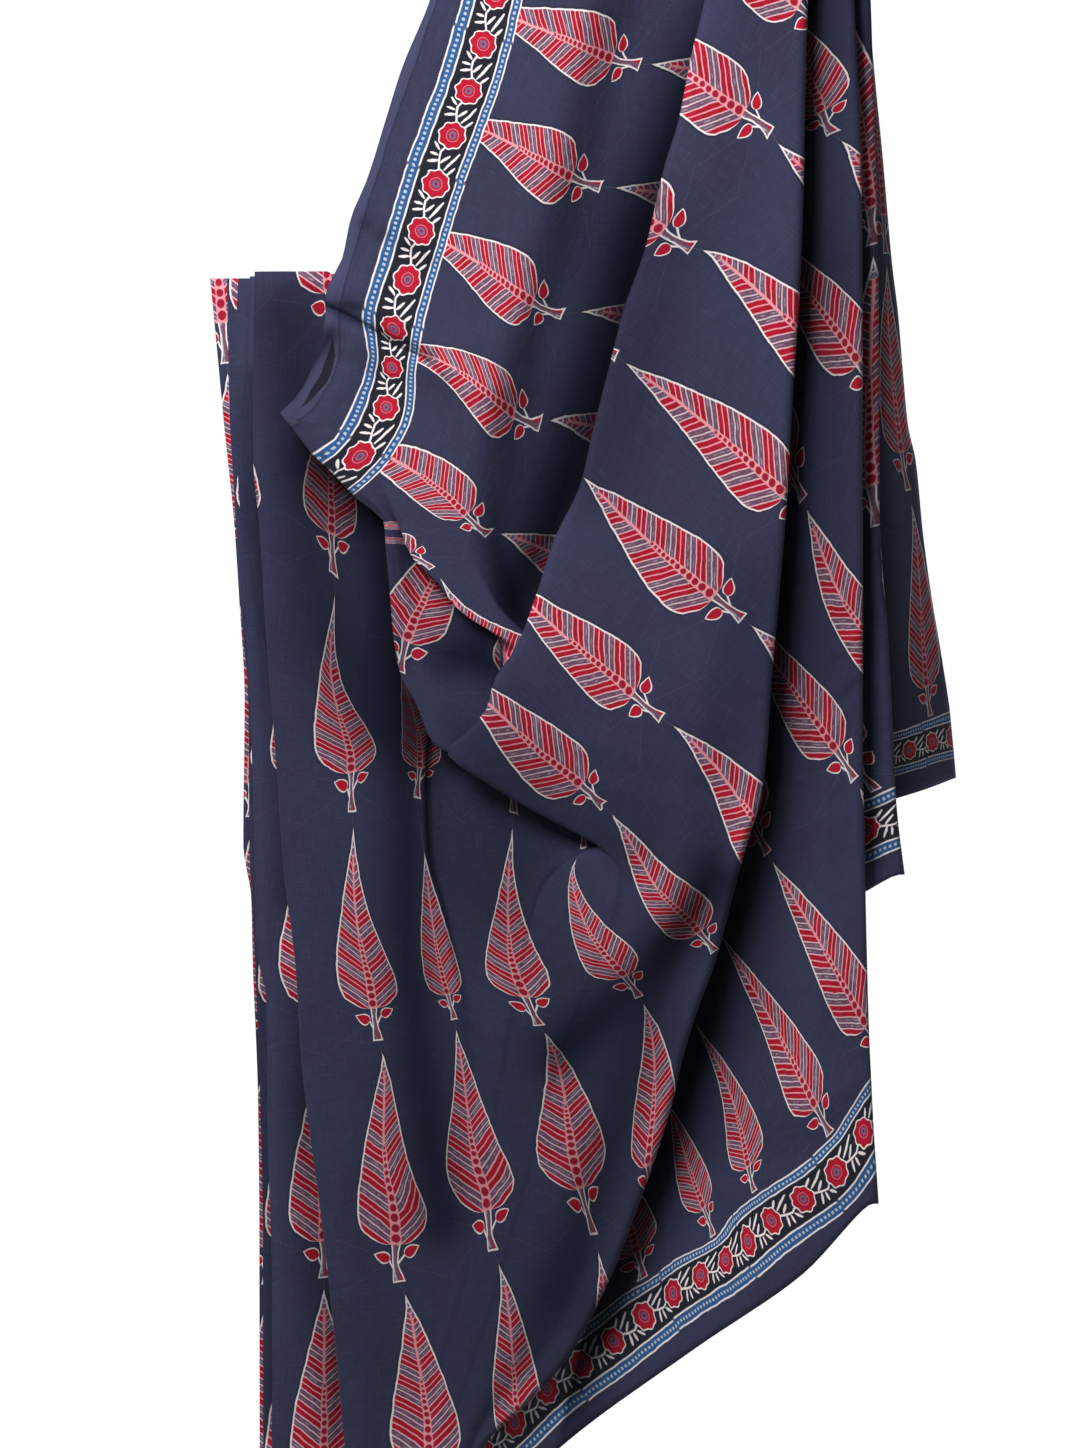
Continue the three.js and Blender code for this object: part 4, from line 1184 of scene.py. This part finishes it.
# where the sash's edge is tucked: the fold's shadow and the dark between its layers
def tuckShade(g, cloths, u, v):
    foldLine = g.curve(tuck["line"], v / tuck["width"]) * tuck["lift"]
    past = u - foldLine - tuck["start"]
    shadow = (g.smooth(tuck["shadowReach"], 0.0, past) * 0.75 * g.smooth(-0.5, 0.1, past)
              * g.smooth(tuck["width"], 70.0, v))
    apart = (u - tuck["gap"][0]) / tuck["gap"][1]
    opening = (apart * apart - 1.0) * -tuck["gapHalfWidth"] - abs(v - tuck["gapLine"])
    shadow = g.most(shadow, g.smooth(-0.3, 0.4, opening) * 0.9)
    return g.mix(shadow, cloths, dyesAndPaintedShades["tuckShadow"])


def printedCotton(name, fade, sheen):
    g = Graph(bpy.data.materials.new(name))
    onCloth = g.node("ShaderNodeUVMap", {"uv_map": "cloth"})
    aside = g.node("ShaderNodeVectorMath", {"operation": "ADD"},
                   {0: onCloth, 1: (3.1, 5.7, 0.0)})
    u, v = [g.node("ShaderNodeSeparateXYZ", None, {0: onCloth}, k) / mm
            + (g.noise(place, weave["waver"]) - 0.5) * weave["waverReach"]
            for k, place in enumerate((onCloth, aside))]
    grain = g.noise(onCloth, weave["grain"])
    patch = g.noise(onCloth, weave["patch"], 3.0, 0.6)
    chain = (u / printScale["chain"] + 0.5).maths("FLOOR")
    p = u - chain * printScale["chain"]
    q = (v - printScale["firstTip"]) % printScale["row"]
    body, halo, leafColour = leafBlade(g, p, q, grain, patch)
    stem, stemColour = leafStem(g, p, q, patch)
    buds, twigs, budColour = leafBuds(g, p, q)

    # ground: uneven dye and the threads' own tone
    blotch = g.noise(onCloth, weave["blotch"], 4.0, 0.6)
    warp, weft = [g.stretched(onCloth, scale) for scale in weave["threads"]]
    threads = warp + weft
    cloths = g.mix(g.smooth(0.3, 0.7, blotch) * 0.8, dyesAndPaintedShades["ground"], dyesAndPaintedShades["groundDeep"])
    cloths = g.mix(g.smooth(0.35, 0.7, patch) * 0.3, cloths, dyesAndPaintedShades["groundDeep"])
    cloths = g.mix(g.smooth(0.46, 0.72, threads / 2) * 0.6, cloths, dyesAndPaintedShades["groundWorn"])

    # the field, inside the borders along both edges
    block = u / (border["flowerPitch"] * border["block"]) + border["blockStart"]
    shift = (block.maths("FLOOR") % 2 - 0.5) * border["blockShift"]
    fromEdge = g.least(v, border["width"] - v) + shift
    joint = g.smooth(0.484, 0.492, abs(block.maths("FRACT") - 0.5))
    field = g.smooth(*border["fieldFrom"], fromEdge)
    cloths = g.mix(halo * 0.55 * field, cloths, dyesAndPaintedShades["black"])
    for mask, colour in ((twigs, dyesAndPaintedShades["pale"]), (buds, budColour), (stem, stemColour),
                         (body, leafColour)):
        cloths = g.mix(mask * field, cloths, colour)

    inBand = g.strip(*border["band"], fromEdge)
    cloths = g.mix(inBand, cloths, dyesAndPaintedShades["black"])
    atBottom = g.smooth(566, 567, v)
    flowers = u + atBottom * (0.5 * border["flowerPitch"])
    cloths = borderBand(g, cloths, flowers, fromEdge - border["flowerLine"], inBand, grain)
    cloths = borderStrips(g, cloths, u, fromEdge, joint, patch)
    if fade:
        cloths = g.mix(fade, cloths, dyesAndPaintedShades["ground"])
    cloths = tuckShade(g, cloths, u, v)

    # the weave's relief
    crinkle = g.stretched(onCloth, weave["crinkle"], 3.0, 0.6, weave["crinkleTurn"])
    bump = g.node("ShaderNodeBump", None, {"Strength": 0.35, "Distance": weave["relief"],
                                           "Height": threads * 0.2 + crinkle * 0.7})
    cotton = g.node("ShaderNodeBsdfPrincipled", None, {
        "Base Color": cloths, "Roughness": g.smooth(0.2, 0.8, grain) * 0.12 + 0.7,
        "Specular IOR Level": 0.16, "Sheen Weight": sheen, "Sheen Roughness": 0.45,
        "Sheen Tint": (0.75, 0.78, 1.0, 1.0), "Normal": bump})
    # painted shade: where the hollows are painted dark, the cloth gives way to a dark, dull shader
    shade = g.node("ShaderNodeBsdfPrincipled", None, {
        "Base Color": dyesAndPaintedShades["hollow"], "Roughness": 0.95, "Specular IOR Level": 0.03,
        "Normal": bump})
    hollow = g.node("ShaderNodeAttribute", {"attribute_name": "hollow"}, None, 2)
    mixed = g.node("ShaderNodeMixShader", None, {0: 1 - hollow, 1: cotton, 2: shade})
    g.node("ShaderNodeOutputMaterial", None, {0: mixed})
    return g.owner


cloth.data.materials.append(printedCotton("ajrakh_face", 0.0, 0.05))
cloth.data.materials.append(printedCotton("ajrakh_reverse", 0.35, 0.04))
print("print:", len(cloth.data.materials[0].node_tree.nodes), "nodes")

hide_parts("cloth")
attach(cloth, "root")

studio = {
    "floor": -2.0,
    "floorSize": 80.0,
    "floorTone": 0.9,
    "floorGlow": 1.0,
    "air": (0.95, 0.97, 1.0, 1.0),
    "airSeen": 1.05,
    "airLit": 0.1,
    "aim": (-0.08775, 0.0, -0.603),
    "distance": 5.2,
    "frameHeight": 1.086,
    "sensor": 24.0,
    # place, size, power
    "lights": {
        "key": ((-1.2, -1.75, 1.1), 1.0, 82),
        "fill": ((2.0, -3.1, 0.8), 2.4, 8),
        "rear": ((0.7, 2.5, 1.5), 1.2, 48),
    },
}


def makeFloor():
    level = studio["floorTone"]
    g = Graph(bpy.data.materials.new("floor_paper"))
    paper = g.node("ShaderNodeBsdfPrincipled", None, {
        "Base Color": (level, level, level, 1.0), "Roughness": 0.9,
        "Specular IOR Level": 0.1, "Emission Color": studio["air"],
        "Emission Strength": studio["floorGlow"]})
    g.node("ShaderNodeOutputMaterial", None, {0: paper})
    bpy.ops.mesh.primitive_plane_add(size=studio["floorSize"], location=(0, 0, studio["floor"]))
    floor = bpy.context.object
    floor.name = "floor"
    floor.data.materials.append(g.owner)
    floor.visible_diffuse = False  # its own glow doesn't light the cloth


def makeWorld():
    g = Graph(bpy.data.worlds.new("studio"))
    lit, seen = [g.node("ShaderNodeBackground", None, {0: studio["air"], 1: studio[strength]})
                 for strength in ("airLit", "airSeen")]
    behind = g.node("ShaderNodeLightPath")
    g.node("ShaderNodeOutputWorld", None,
           {0: g.node("ShaderNodeMixShader", None, {0: behind, 1: lit, 2: seen})})
    bpy.context.scene.world = g.owner


def areaLight(name, place, size, power):
    x, y, z = np.array(place) - studio["aim"]
    turn = (math.acos(z / math.hypot(x, y, z)), 0, math.atan2(y, x) + math.pi / 2)
    bpy.ops.object.light_add(type="AREA", location=place, rotation=turn)
    lamp = bpy.context.object
    lamp.name = name
    lamp.data.size = size
    lamp.data.energy = power


makeFloor()
makeWorld()
for lampName, (place, size, power) in studio["lights"].items():
    areaLight(lampName, place, size, power)
bpy.context.scene.view_settings.view_transform = "Standard"

aimSide, _, aimHeight = studio["aim"]
bpy.ops.object.camera_add(location=(aimSide, -studio["distance"], aimHeight),
                          rotation=(math.pi / 2, 0, 0))
camera = bpy.context.object
camera.data.sensor_fit = "VERTICAL"
camera.data.sensor_height = studio["sensor"]
camera.data.lens = studio["sensor"] * studio["distance"] / studio["frameHeight"]
bpy.context.scene.camera = camera

print("studio and camera ready")
